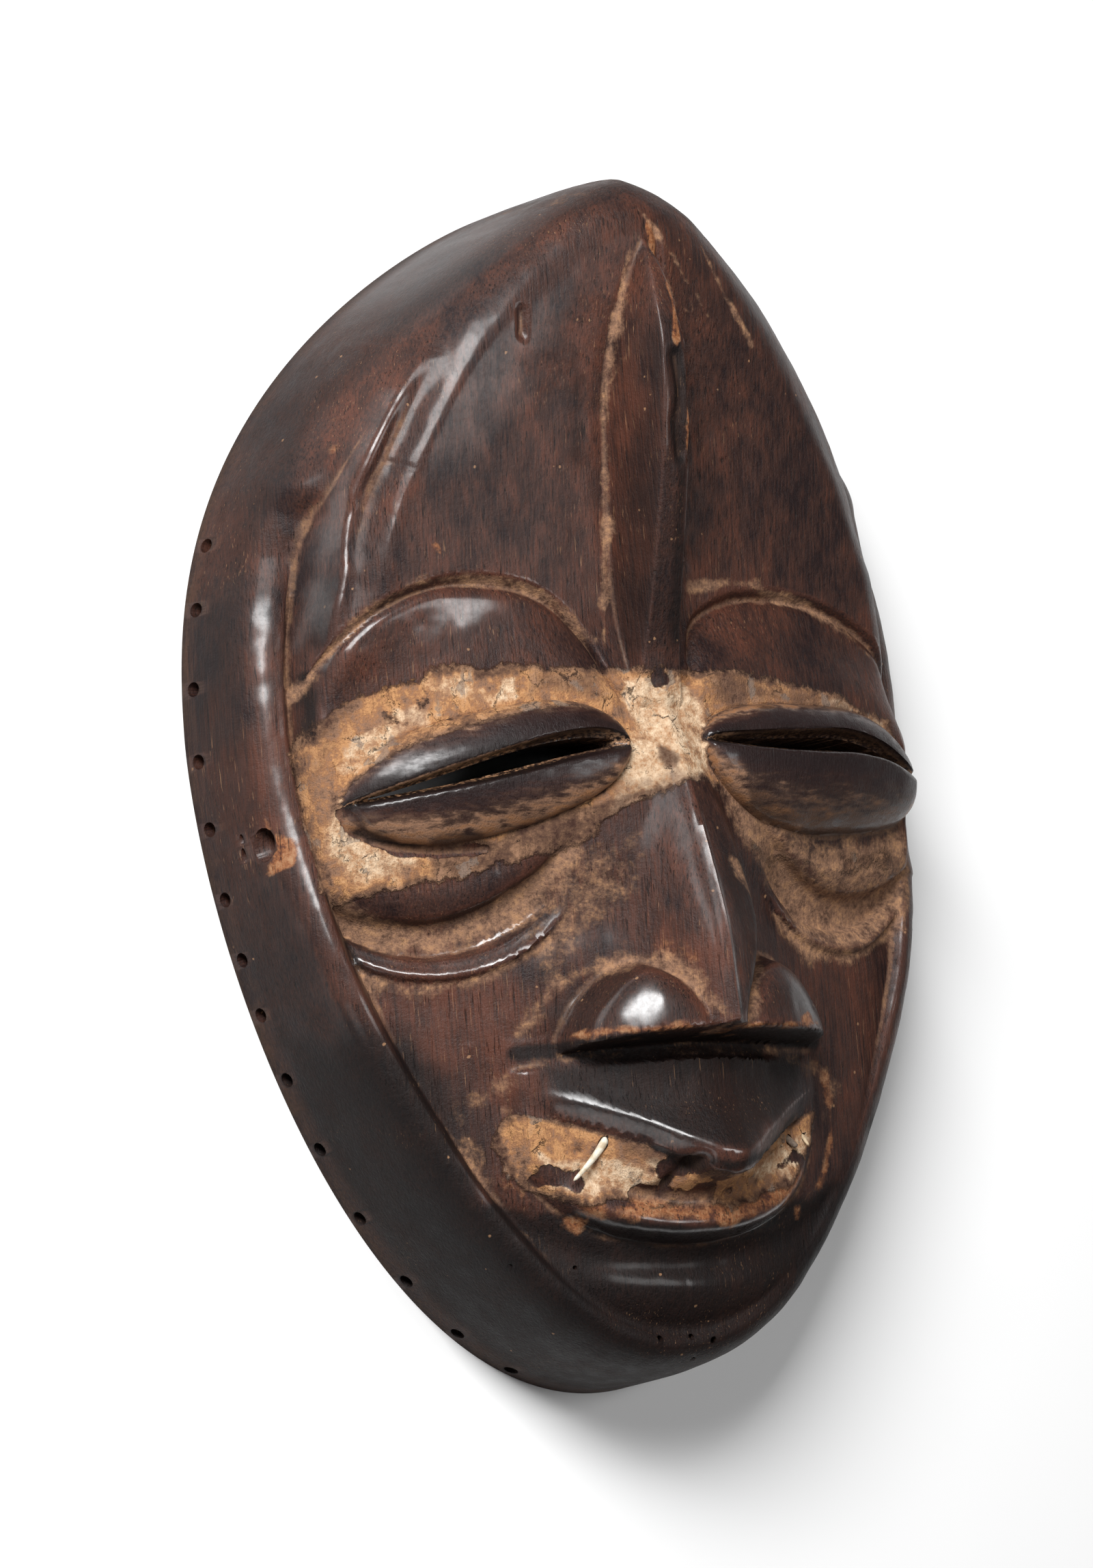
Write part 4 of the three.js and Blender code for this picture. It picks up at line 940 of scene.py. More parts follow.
@dataclass
class Skin:
    """A closed surface put together from plans and rows of points."""

    points: list[Array] = field(default_factory=list)
    faces: list[Array] = field(default_factory=list)
    count: int = 0

    def add(self, points: Array) -> Array:
        """Adds points and gives back their numbers."""
        self.points.append(points)
        self.count += len(points)
        return np.arange(self.count - len(points), self.count)

    def add_plan(self, plan: Plan, height: Measure, up: bool) -> Array:
        """Adds a plan raised to its heights, and gives back the numbers of its border points."""
        z = height(plan.points[:, 0], plan.points[:, 1])
        numbers = self.add(np.concatenate([plan.points, z[:, None]], 1))
        faces = numbers[plan.faces]
        self.faces.append(faces if up else faces[:, ::-1])
        return numbers[plan.border]

    def join_rows(self, inner: Array, outer: Array, up: bool) -> None:
        """Joins an inner row to the next row out, which has as many points or a multiple of them."""
        ratio = len(outer) // len(inner)
        half = -(-ratio // 2)
        following = np.roll(inner, -1)
        run = [np.roll(outer, -k)[::ratio] for k in range(ratio + 1)]
        made = [columns(inner if k < half else following, run[k], run[k + 1]) for k in range(ratio)]
        made.append(columns(inner, run[half], following))
        faces = np.concatenate(made)
        self.faces.append(faces if up else faces[:, ::-1])

    def mesh(self, name: str) -> bpy.types.Mesh:
        """The surface as a Blender mesh in metres."""
        return mesh_of(name, np.concatenate(self.points), np.concatenate(self.faces))


def mesh_of(name: str, points: Array, faces: Array) -> bpy.types.Mesh:
    """Makes a mesh of triangles.

    Args:
        name: The mesh's name.
        points: Its points in millimetres.
        faces: Three point numbers for each triangle.

    Returns:
        The mesh, in metres.
    """
    mesh = bpy.data.meshes.new(name)
    mesh.vertices.add(len(points))
    mesh.vertices.foreach_set("co", (points * MM).astype(np.float32).ravel())
    mesh.loops.add(3 * len(faces))
    mesh.loops.foreach_set("vertex_index", faces.astype(np.int32).ravel())
    mesh.polygons.add(len(faces))
    mesh.polygons.foreach_set("loop_start", np.arange(0, 3 * len(faces), 3, dtype=np.int32))
    mesh.update(calc_edges=True)
    mesh.validate()
    return mesh


def point_normals(points: Array, faces: Array) -> Array:
    """The outward direction at each point of a surface."""
    p, q, r = (points[faces[:, k]] for k in range(3))
    normal = np.cross(q - p, r - p)
    total = np.zeros_like(points)
    for k in range(3):
        for c in range(3):
            total[:, c] += np.bincount(faces[:, k], normal[:, c], len(points))
    return total / np.maximum(np.linalg.norm(total, axis=1), 1e-12)[:, None]


@dataclass(frozen=True)
class Unevenness:
    """Smooth noise that gives the same value at the same place each time."""

    seed: int

    def at(self, place: Array, size: float) -> Array:
        """Values between about -1 and 1.

        Args:
            place: The places, in millimetres.
            size: How far apart the bumps lie.

        Returns:
            One value for each place.
        """
        p = place / np.array(size, float)
        cell = np.floor(p).astype(np.int64)
        u = p - cell
        u = u * u * u * (u * (6 * u - 15) + 10)
        total = np.zeros(len(p))
        for corner in range(8):
            step = np.array([corner & 1, corner >> 1 & 1, corner >> 2 & 1])
            weight = np.prod(np.where(step, u, 1 - u), axis=1)
            total += weight * self._corner(cell + step)
        return total

    def _corner(self, cell: Array) -> Array:
        """One fixed value between -1 and 1 for each whole place."""
        mixed = cell[:, 0] * 73856093 ^ cell[:, 1] * 19349663 ^ cell[:, 2] * 83492791 ^ self.seed * 2654435761
        mixed = (mixed ^ mixed >> 13) * 1274126177 & 0xFFFFFFFF
        mixed = (mixed ^ mixed >> 16) & 0xFFFF
        return mixed / 32767.5 - 1

    def layered(self, place: Array, size: float, layers: int) -> Array:
        """Noise with finer and weaker layers on top."""
        total = np.zeros(len(place))
        for layer in range(layers):
            total += Unevenness(self.seed + layer).at(place, size / 2**layer) / 2**layer
        return total


@dataclass(frozen=True)
class Lumps:
    """Layered noise of one size and strength."""

    seed: int
    size: float
    strength: float
    layers: int = 2

    def at(self, place: Array, share: Array | float = 1.0) -> Array:
        """The noise at each place, or only the share of it that is wanted there."""
        return share * Unevenness(self.seed).layered(place, self.size, self.layers) * self.strength


class Coat(Enum):
    """What lies on the wood in places, or what long use has done to it there; the soot also carries painted
    shade.
    """

    CRUST = "crust"
    PALE = "pale"
    DUST = "dust"
    WORN = "worn"
    GLOSS = "gloss"
    # Dark patina, and painted shade: black laid where shade falls under the nose, under the lips, on the chin
    # and along grooves.
    SOOT = "soot_and_shade"
    FLAKED = "flaked"
    GRIME = "grime"


def from_line(points: tuple[tuple[float, float], ...], closed: bool, x: Array, y: Array) -> Array:
    """How far plan points lie from a line of points, negative inside it if the line is closed."""
    line = np.array(points, float)
    ends = np.roll(line, -1, 0)
    if not closed and len(line) > 1:
        line, ends = line[:-1], ends[:-1]
    gap = np.full(len(x), np.inf)
    inside = np.zeros(len(x), bool)
    for (ax, ay), (bx, by) in zip(line, ends):
        dx, dy = bx - ax, by - ay
        t = clamp(((x - ax) * dx + (y - ay) * dy) / max(dx * dx + dy * dy, 1e-9))
        gap = np.minimum(gap, np.hypot(x - ax - t * dx, y - ay - t * dy))
        if closed and ay != by:
            inside ^= ((ay > y) != (by > y)) & (x < ax + (y - ay) * dx / dy)
    return np.where(inside, -gap, gap)


@dataclass(frozen=True)
class Mark:
    """A patch or a line on the face, drawn in plan.

    With no width it is the patch inside its points, and otherwise a line of that half width through them.
    """

    points: tuple[tuple[float, float], ...]
    width: float = 0.0
    soft: float = 1.5
    strength: float = 1.0
    wander: float = 1.2

    def share(self, x: Array, y: Array, drift: Array) -> Array:
        """How much of the mark there is at each place.

        Args:
            x: Places across.
            y: Places along.
            drift: Noise that makes its edge uneven.

        Returns:
            Values from 0 to the mark's strength.
        """
        gap = from_line(self.points, self.width == 0, x, y) - self.width + drift * self.wander
        return self.strength * rise(self.soft, -self.soft, gap)


@dataclass(frozen=True)
class Dent:
    """A gouge, pit or crack pressed in along a line in plan, or a raised flake if its depth is negative."""

    points: tuple[tuple[float, float], ...]
    radius: float
    depth: float

    def lowering(self, x: Array, y: Array) -> Array:
        """How far the surface is pressed in at each place."""
        return self.depth * bell(from_line(self.points, False, x, y) / self.radius)


EYE_CRUST = (
    (-68, 12), (-65.5, 16), (-60, 18.4), (-52, 20.4), (-42, 21.5), (-31, 21), (-17, 20.5), (-8, 21),
    (3, 19.5), (15, 19.5), (24, 19), (35, 18), (44, 16), (54, 13.5), (62, 11), (66, 5), (40, 3), (14, 3),
    (11, -5), (4, -3), (-1, -4), (-6, -6), (-11, -7), (-17, -11), (-18, -13), (-27, -16), (-37, -18.5),
    (-47, -20.5), (-57, -21.5), (-64, -23), (-68, -20), (-69, -12), (-70.6, 0), (-70.6, 7),
)
MOUTH_CRUST = (
    (-36, -64), (-38, -72), (-36, -79), (-31, -83), (-25, -85.5), (-17, -85), (-9, -86.5), (0, -86),
    (8, -87.4), (17, -86), (27, -82), (33, -74), (38, -64), (24, -62), (0, -70), (-24, -62),
)
RIGHT_UNDER_EYE = (
    (11, -5), (16, -15), (26, -24), (27, -32), (36, -39), (50, -39), (67, -33), (74, -14), (62, -12),
    (40, -16), (22, -9),
)
MARKS = {
    Coat.CRUST: (
        Mark(EYE_CRUST, soft=3),
        Mark(MOUTH_CRUST, soft=2.6),
        Mark(((20, -15), (33, -18), (48, -19), (60, -17)), 2.2, 3, 0.62, 2.5),
    ),
    Coat.PALE: (
        Mark(((-47, 19), (-36, 20), (-34, 15), (-46, 14)), soft=3, strength=0.5, wander=3),
        Mark(((-33.5, 19), (-30.5, 19), (-31, 15), (-34, 15)), soft=1, strength=0.9, wander=1),
        Mark(
            (
                (-8, 18), (3, 18), (10, 14), (9, 2), (4, -4), (-8, -7), (-15, -9), (-11, 2), (-6, 9),
            ),
            soft=3,
        ),
        Mark(((-66, -2), (-60, -8), (-56, -14), (-48, -17), (-62, -20), (-67, -12)), soft=3, strength=0.7),
        Mark(((-31, -76), (-22, -78), (-10, -80), (-8, -84), (-20, -84), (-29, -82)), soft=2.5, wander=3),
        Mark(((12, -80), (24, -75), (31, -74), (27, -80), (16, -84)), soft=2.5, wander=3),
        Mark(((45, 13.6), (54, 11.6), (60, 9.6)), 1.2, 1.5, 0.9),
        Mark(((-50, 12.5), (-58, 9), (-63, 3)), 1.6, 1.5, 0.6, 2),
    ),
    Coat.DUST: (
        Mark(((-63, -25), (-55, -30), (-45, -31.8), (-35, -28.4), (-28, -22), (-23, -16)), 2.6, 2.4, 0.95),
        Mark(((-62, -37), (-51, -41.5), (-40, -40), (-32, -36), (-26, -28), (-22, -18)), 1.6, 3, 0.75),
        Mark(RIGHT_UNDER_EYE, soft=4, strength=0.95, wander=2.5),
        Mark(((-26, -42), (-19, -39), (-11, -38), (-7, -42), (-4, -47), (-1, -52)), 1.8, 2.6, 0.85, 2),
        Mark(((-33, -51), (-27, -43)), 1.6, 2.6, 0.7),
        Mark(((8, -20), (14, -30), (15, -38), (9, -45), (7, -51)), 1.6, 2.6, 0.85, 1.6),
        Mark(
            (
                (-26, -17), (-14, -14), (-9, -12), (-12, -24), (-20, -36), (-32, -46), (-31, -30),
            ),
            0, 6, 0.62, 3,
        ),
        Mark(((-42, -64), (-36, -60), (-29, -57)), 1.6, 3.4, 0.6, 2),
        Mark(((22, -57), (35, -60), (41, -64), (37, -70)), 1.6, 3.4, 0.55, 2),
        Mark(((-46, -60), (-44, -70), (-41, -80)), 0.9, 3, 0.6, 2.5),
        Mark(
            (
                (-69, 18), (-67, 23), (-63, 29), (-57, 34.6), (-50, 38), (-39, 39.4), (-28, 38.4), (-19, 34),
                (-12, 26),
            ),
            0.9, 1.4, 0.95, 0.8,
        ),
        Mark(((-67, 24), (-58, 35), (-46, 40), (-32, 40.6), (-20, 36)), 1, 4, 0.4, 1),
        Mark(((12, 37), (20, 38), (28, 37.4), (42, 34), (55, 28), (66, 20)), 0.9, 1.6, 0.95, 1),
        Mark(((4, 21), (8, 30), (10, 44), (8, 62)), 2, 4, 0.45, 2),
        Mark(
            (
                (-10, 22), (-8.4, 38), (-7.4, 58), (-7.4, 72), (-6.4, 85), (-4, 99), (-2, 106),
            ),
            0.5, 1.2, 0.9,
        ),
        Mark(((-16, 113), (-11, 115), (-2, 116)), 1.4, 2.4, 0.6, 2),
        Mark(((-71, 52), (-76, 50), (-81, 45), (-87, 39)), 0.3, 0.9, 0.55, 0.5),
        Mark(((-3, 113), (0, 111), (5, 105), (10, 99), (17, 91)), 0.6, 1, 1.1, 1.5),
        Mark(((6, 97), (9, 92), (13, 92), (12, 96)), 0.5, 0.8, 0.9, 0.8),
        Mark(((15, 107), (21, 96), (29, 86)), 0.5, 1, 0.9, 1.5),
        Mark(((71, -33), (67, -37), (62, -46)), 1.0, 2, 0.6, 2),
    ),
    Coat.WORN: (
        Mark(
            (
                (-75.6, -3), (-74.4, -8), (-71, -11), (-72, -16), (-75.4, -16), (-76.4, -10),
            ),
            0, 1.2, 0.9, 1.6,
        ),
        Mark(((-84.6, 37), (-84.4, 35)), 0.5, 0.5, 0.9),
        Mark(((-25, -52), (-12, -52.6), (0, -52.8), (14, -52.8), (28, -52)), 0.7, 1.2, 0.7),
        Mark(((-14, -34), (-9, -36), (-6, -39)), 1.2, 3, 0.6, 2),
        Mark(((21, -51.4), (24, -51)), 0.9, 0.9, 0.9),
        Mark(((1.6, 108), (3, 99), (1.8, 91), (0.6, 83)), 0.9, 0.8, 1.2, 0.6),
        Mark(((3.4, 80), (3.8, 72), (2.8, 66), (3.6, 59)), 0.5, 0.7, 1, 0.8),
        Mark(((72, 2), (74, -8), (72, -17)), 0.8, 2, 0.6),
        Mark(((-45, 45.6), (-44, 44)), 0.4, 0.5, 0.7),
        Mark(((-57, 73), (-60, 66)), 0.7, 2.2, 0.6, 2),
        Mark(
            (
                (-32, -84), (-20, -88), (0, -91), (20, -89), (32, -82), (28, -79), (0, -86), (-20, -84),
            ),
            0, 2, 0.75, 2,
        ),
        Mark(((38, -62), (39.6, -72), (36, -82), (28, -88)), 1, 2, 0.62, 2),
        Mark(((-36, -80), (-30, -86), (-24, -88.4)), 1, 2, 0.7, 2),
    ),
    Coat.GLOSS: (
        Mark(((0, -4), (0.6, -25), (1, -49)), 0.7, 1.2),
        Mark(((-27, -47), (-14, -40), (-6, -49), (-24, -52)), 0, 3, 0.8),
        Mark(((12, -40), (24, -44), (30, -52), (8, -52)), 0, 3, 0.5),
        Mark(((-60, -34), (-48, -37), (-38, -35), (-29, -27)), 2.4, 1),
        Mark(((-30, -64), (-19, -69), (-6, -75), (0, -78)), 1.6, 1.2),
        Mark(((-60, -24), (-48, -27), (-38, -24), (-30, -18), (-40, -21), (-56, -22)), 0, 2, 0.9),
        Mark(((-73, 34), (-74, 18), (-73, 0), (-70, -24), (-62, -46)), 1.6, 5, 0.7),
        Mark(((-69, 27), (-66, 34), (-60, 60), (-50, 76)), 0.8, 1.5, 0.8),
        Mark(((-62, 25), (-52, 35), (-40, 37), (-26, 33), (-26, 26), (-56, 25)), 0, 4, 1),
        Mark(((-46, 112), (-24, 118), (-12, 108), (-26, 76), (-40, 62), (-54, 60), (-44, 84)), 0, 9, 0.25),
        Mark(((-24, -88), (-10, -91), (6, -92), (20, -90)), 2, 1.4, 1),
        Mark(((-14, -88), (0, -88), (14, -86)), 1.6, 2, 0.8),
        Mark(((-16, -99), (-4, -101), (10, -99)), 2, 4, 0.3),
        Mark(((6, -89), (14, -89), (22, -87)), 1.8, 1.2),
        Mark(((-66, 23), (-63, 29)), 0.8, 0.8, 1),
    ),
    Coat.SOOT: (
        # Painted shade: the chin, the lower cheeks and the wall below them darkened, with the shadow under the
        # lower lip.
        Mark(
            (
                (-74, -44), (-52, -50), (-43, -58), (-43, -82), (-20, -93), (10, -93), (40, -84), (60, -60),
                (60, -130), (-60, -130),
            ),
            0, 8, 0.9, 3,
        ),
        Mark(((-30, -46), (-18, -38), (-8, -44), (-6, -51), (-28, -53)), 0, 2.4, 0.5, 1),
        Mark(((10, -50), (14, -42), (24, -44), (31, -52)), 0, 2.4, 0.5, 1),
        # Painted shadow: black under the nose and over the top of the upper lip, where the nose's shadow
        # falls.
        Mark(((-34, -54.6), (-10, -55), (10, -55), (36, -54.6)), 1.6, 1, 1, 0.3),
        Mark(((-24, -53), (22, -53), (18, -60), (0, -62), (-22, -60)), 0, 2.4, 1.2, 0.6),
        Mark(((-30, -57), (32, -57), (28, -66), (4, -77), (-8, -75), (-28, -65)), 0, 2.4, 0.8, 1),
        # Painted shadow: black on the lower lip's front and along the hollow below it, where its shadow falls.
        Mark(((-40, -86), (-24, -94), (0, -97.6), (24, -94), (40, -86)), 3.4, 2.4, 1, 0.6),
        Mark(((-30, -87), (-20, -90), (0, -92.6), (20, -91), (30, -87)), 2, 2, 0.95, 1.2),
        Mark(((-8, 22), (-7, 60), (-4, 90), (1, 90), (1, 60), (1, 24)), 0, 2.4, 0.5, 1),
        Mark(((6, -10), (16, -30), (16, -42), (4, -50), (2, -20)), 0, 2.4, 0.55, 1),
        # Painted shadow: a dark line in the gap just below the upper lip's edge.
        Mark(((-30, -70), (-16, -75), (0, -80), (14, -77), (26, -70)), 0.8, 1, 0.9, 0.8),
        Mark(((-14, 78), (-14, 64)), 2.4, 3, 0.6, 2.5),
        Mark(((1, 82), (1.4, 60), (2, 40), (3, 26)), 2, 2, 0.75, 1),
        Mark(((72, -20), (69, -30), (64, -40), (56, -55), (44, -76)), 2.6, 3, 0.35, 1),
        Mark(((0.4, 81), (1.4, 74), (0.4, 67), (1.2, 60)), 1.6, 1, 1, 1),
        Mark(((41, -29.4), (56, -30.4), (68, -24)), 1.4, 2, 0.8, 1),
        # Painted shade: dark lines along the valley and the groove inside the left border.
        Mark(((-64, 40), (-67, 28)), 1.4, 1.8, 0.6, 1),
        Mark(((-68, 22), (-68.4, 8), (-67.6, -8), (-66, -22), (-60, -36)), 0.9, 1, 0.9, 0.6),
    ),
    Coat.FLAKED: (
        Mark(((-8, 18.5), (-2, 19.5), (3, 17.5), (-2, 15.5)), soft=1.2, wander=2.4),
        Mark(((-64, -6), (-61, -10.4), (-54, -13.4), (-46, -14.6), (-38, -14.6)), 1.1, 0.6, 1, 0.6),
        Mark(((-55, 13), (-48, 15.5)), 1.0, 1.4, 0.4, 3),
        Mark(((-66, 15), (-60, 18), (-50, 20)), 1.4, 2, 0.5, 3),
        Mark(((12, -3), (16, 3), (16, 8)), 1.4, 2, 0.6, 3),
        Mark(((-20, 17), (-14, 14), (-11, 9)), 1.2, 2, 0.35, 3),
        Mark(((-31, -79), (-26, -81)), 1.6, 1, 1, 2.5),
        Mark(((-14, -83.4), (-4, -84.4), (7, -84.2)), 1.1, 1, 0.9, 2.5),
        Mark(((21, -80), (27, -78)), 1.2, 1, 0.8, 2.5),
        Mark(((-9, -79.5), (-4, -78.4)), 1.8, 0.8, 1, 1),
        Mark(((22, -12), (33, -15), (44, -16.6)), 2.4, 1.5, 0.7, 3.5),
    ),
    Coat.GRIME: (
        Mark(
            (
                (-48, -13), (-30, -11), (-16, -6), (-6, -4), (-2, -5), (-11, -10), (-18, -14), (-28, -19),
                (-48, -23),
            ),
            0, 2.5, 1.3, 2,
        ),
        Mark(((-6, 8), (-1.5, 6), (-1, 1), (-4, 0), (-5, 4)), 0, 1.6, 1, 2.4),
        Mark(((-26, 21), (-12, 21), (-14, 14), (-28, 16)), 0, 3, 0.7, 2.5),
        Mark(((11, 20), (24, 19), (44, 16), (62, 11), (60, 6), (30, 12), (12, 12)), 0, 3, 0.75, 2.5),
        Mark(((-68, 14), (-62, 19), (-56, 20), (-60, 15), (-66, 4), (-69, 0)), 0, 2.5, 0.7, 2.5),
        Mark(((-12, -2), (-20, -8), (-17, -12), (-8, -6), (-2, -5), (2, -4), (0, -1)), 0, 2, 0.6, 2),
        Mark(((11, 4), (24, 13), (44, 12), (67, 2), (64, -12), (40, -15), (18, -10)), 0, 1.6, 0.9, 1),
        Mark(((-38, 9), (-30, 12), (-18, 12), (-12, 6), (-14, 0), (-30, 2)), 0, 4, 0.85, 1),
        Mark(((-62, -4), (-40, -1), (-14, 2), (-14, -2), (-30, -9), (-48, -10)), 0, 3, 0.7, 1),
        Mark(
            (
                (-22, -66), (-4, -72), (12, -72), (24, -66), (20, -78), (2, -80), (-16, -76),
            ),
            0, 3, 0.8, 2.5,
        ),
    ),
}
DENTS = (
    Dent(((-26, 91), (-26, 86.6)), 0.9, 1.1),
    Dent(((0.4, 80), (1.4, 73), (0.2, 67), (1.2, 61)), 1.7, 1.3),
    Dent(((3, 108), (4, 100), (3, 92), (1.6, 84)), 0.7, 0.5),
    Dent(((-6, -79),), 1.7, 2.6),
    Dent(((-8.6, -81.8),), 1.3, 1.8),
    Dent(((-24, -74.4),), 1, 1.3),
    Dent(((-28, -80),), 2.2, 0.5),
    Dent(((-13, -83.4), (-4, -84.4), (6, -84.2)), 1.5, 0.4),
    Dent(((-12.6, -81.4), (-9.6, -80.8)), 0.9, -0.7),
    Dent(((-64, -6), (-61, -10.4), (-54, -13.4), (-46, -14.6), (-38, -14.6)), 0.9, 0.9),
    Dent(((-53, 62.6), (-49, 60.4)), 0.6, 0.2),
    Dent(((-33, 17), (-32.6, 13.6)), 0.6, 0.3),
    Dent(((-36.6, -15.4), (-36.4, -18.6)), 0.6, 0.4),
    Dent(((28, -16), (40, -18.6), (48, -18)), 1.2, 0.4),
)


@dataclass
class MaskBody:
    """The mask itself, carved from one block of wood."""

    carving: Carving = field(default_factory=Carving)
    face_lines: int = 61
    face_factor: int = 4
    back_lines: int = 61
    back_factor: int = 2
    wall_rows: int = 12
    wall_sharpness: float = 1.8
    crest_slope: float = 0.28
    tie_hole_radius: float = 1.5
    tie_hole_height: float = 3.1
    tie_hole_ys: tuple[float, ...] = (51, 38, 22, 7.5, -6, -20, -32, -43, -56, -70, -84, -97, -108, -116)
    worn_holes: tuple[tuple[float, float, float, float, float], ...] = (
        (-11.9, 15.6, 2.2, 3.4, 9), (-13.5, 10.6, 0.6, 1.7, 4), (-9.9, 10.8, 0.5, 1.1, 3),
    )
    nail_holes: tuple[tuple[float, float, float], ...] = (
        (-74, -39, 0.45), (-61, -69, 0.45), (-37, -96, 0.6), (-24, -97, 0.45), (-6, -112, 0.7),
        (1.6, -112, 0.6), (6.4, -113, 0.7), (3, -116.6, 0.6), (-15, -118.4, 0.45),
    )
    tie_hole_depth: float = 14.0
    nail_hole_depth: float = 3.0
    hole_rim: float = 0.12
    hole_reach: float = 22.0
    slit_steps: int = 40
    slit_margins: Span = (3, 4.5)
    slit_base: float = 0.5
    slit_narrowing: float = 1.5
    slit_least: float = 0.6
    slit_end: float = 1.4
    cut_heights: Span = (-5, 75)
    socket_gap: float = 0.3
    evening_rounds: int = 6
    steepest_crest: float = 2.4
    crest_blend: Span = (60, 80)
    tool_dents: Lumps = Lumps(3, 11, 0.16)
    use_dents: Lumps = Lumps(9, 3.4, 0.05)
    crust_thickness: float = 0.2
    crust_base: float = 0.75
    crust_crumbs: Lumps = Lumps(12, 2.2, 0.3)
    dust_lumps: Lumps = Lumps(14, 2.6, 0.08)
    mark_drift: Lumps = Lumps(31, 6, 0.8, 3)
    relief_from_z: Span = (0.4, 3)
    marks_from_z: Span = (8, 14)
    marks_under_face: Span = (2, 0.5)
    wall_inset: Span = (8, 4.5)
    wall_soot: float = 0.55
    lid_crust: float = 0.8
    lid_crust_from: Span = (0.56, 0.9)
    lid_crust_low_y: float = -4.0
    lid_edge: Span = (1.06, 0.94)
    lid_least_span: float = 0.12
    mouth_top_y: float = -50.0
    mouth_half_width: float = 40.0
    below_lip: Span = (-3.0, -5.8)
    facing_down: Span = (-0.05, -0.3)
    under_face: Span = (0.8, 2.2)
    under_face_inset: float = 14.0
    hollow_rounds: int = 9
    hollow_strength: float = 0.9
    hollow_least_reach: float = 0.3
    sharp_angle: float = 72.0

    def detail(self, x: Array, y: Array) -> Array:
        """More lines are wanted round the eyes and the mouth than on the forehead."""
        eyes = np.exp(-(((np.abs(x) - 38) / 34) ** 4) - (y / 20) ** 4)
        mouth = np.exp(-((x / 38) ** 4) - ((y + 70) / 34) ** 4)
        return 1 + eyes + 0.6 * mouth

    def skin(self) -> tuple[Array, Array]:
        """The uncut mask: carved front, outer wall, flat rim and hollow back in one closed surface."""
        carving = self.carving
        skin = Skin()
        steps = 4 * (self.face_lines - 1) * self.face_factor
        rim = carving.outline.loop(2 * steps)[::2]
        crest_loop = inset_loop(rim, carving.crest_inset.at(rim[:, 1]))
        front = Plan.settled(
            self.face_lines, self.face_factor, crest_loop, carving.face_height, self.detail, carving.centre
        )
        for line in carving.carved_lines():
            front.follow(line)
        front.even_out(self.evening_rounds)
        row = skin.add_plan(front, carving.face_height, True)
        row = self._add_wall(skin, row, rim, crest_loop)

        back_steps = 4 * (self.back_lines - 1) * self.back_factor
        back_rim = carving.outline.loop(back_steps)
        lip = inset_loop(back_rim, np.full(back_steps, carving.rim_flat))

        def roof_height(x: Array, y: Array) -> Array:
            return carving.hollow_height(x, y, lip)

        roof = Plan.settled(
            self.back_lines, self.back_factor, lip, roof_height, lambda x, y: np.ones_like(x), carving.centre
        )
        roof_edge = skin.add_plan(roof, roof_height, False)
        skin.join_rows(roof_edge, row, False)
        return np.concatenate(skin.points), np.concatenate(skin.faces)

    def _add_wall(self, skin: Skin, row: Array, rim: Array, crest_loop: Array) -> Array:
        """Adds the outer wall from the border's crest down to the rim, and gives back the rim's numbers."""
        carving = self.carving
        inward = inward_of(rim)
        y = rim[:, 1]
        top_z = carving.face_height(crest_loop[:, 0], crest_loop[:, 1])
        inner_z = carving.face_height(*(crest_loop + inward).T)
        lean = carving.wall_lean.at(y)
        steep = clamp(inner_z - top_z, self.crest_slope, self.steepest_crest)
        slope = mix(self.crest_slope, steep, rise(*self.crest_blend, y))
        top = np.concatenate([crest_loop, top_z[:, None]], 1)
        foot = np.concatenate([rim, np.zeros((len(rim), 1))], 1)
        bend_z = top_z - slope * (carving.crest_inset.at(y) - lean)
        bend = np.concatenate([rim + inward * lean[:, None], bend_z[:, None]], 1)
        for k in range(1, self.wall_rows + 1):
            t = 1 - k / self.wall_rows
            weights = ((1 - t) ** 2, 2 * self.wall_sharpness * t * (1 - t), t * t)
            place = (foot * weights[0] + bend * weights[1] + top * weights[2]) / sum(weights)
            following = skin.add(place)
            skin.join_rows(row, following, True)
            row = following
        return row

    def relief(self, place: Array) -> Array:
        """How far the surface stands out from the plain form: dents of the tool and of long use."""
        x, y, z = place.T
        sunk = sum(dent.lowering(x, y) for dent in DENTS)
        coats = self.coats(place)
        crumbs = self.crust_base + self.crust_crumbs.at(place)
        crust = coats[Coat.CRUST] * (1 - coats[Coat.FLAKED]) * self.crust_thickness * crumbs
        dusty = self.dust_lumps.at(place, coats[Coat.DUST])
        under = self.carving.face_height(x, y) - z
        front = rise(*self.marks_from_z, z) * rise(*self.marks_under_face, under)
        carved = (self.tool_dents.at(place) + self.use_dents.at(place)) * rise(*self.relief_from_z, z)
        return carved + (crust + dusty - sunk) * front

    def coats(self, place: Array) -> dict[Coat, Array]:
        """How much of each coat lies at each place of the face."""
        x, y = place[:, 0], place[:, 1]
        drift = self.mark_drift.at(place)
        shares = {}
        for coat, marks in MARKS.items():
            shares[coat] = np.max([mark.share(x, y, drift) for mark in marks], axis=0)
        wall = rise(*self.wall_inset, self.carving.from_rim(x, y)[0])
        shares[Coat.SOOT] = np.maximum(shares[Coat.SOOT], wall * self.wall_soot)
        lid, share = self.lids_over(x, y)
        streaks = rise(*self.lid_crust_from, share) * (x < 0) * (y > self.lid_crust_low_y) * self.lid_crust
        crust = shares[Coat.CRUST] * mix(1, np.where(share > 0, streaks, 0), lid)
        edge = y - self.carving.half_of(x, lambda half, out: half.lip_edge_y.at(out))
        below_lip = rise(*self.below_lip, edge) * (np.abs(x) < self.mouth_half_width)
        shares[Coat.CRUST] = np.where(y < self.mouth_top_y, crust * below_lip, crust)
        return shares

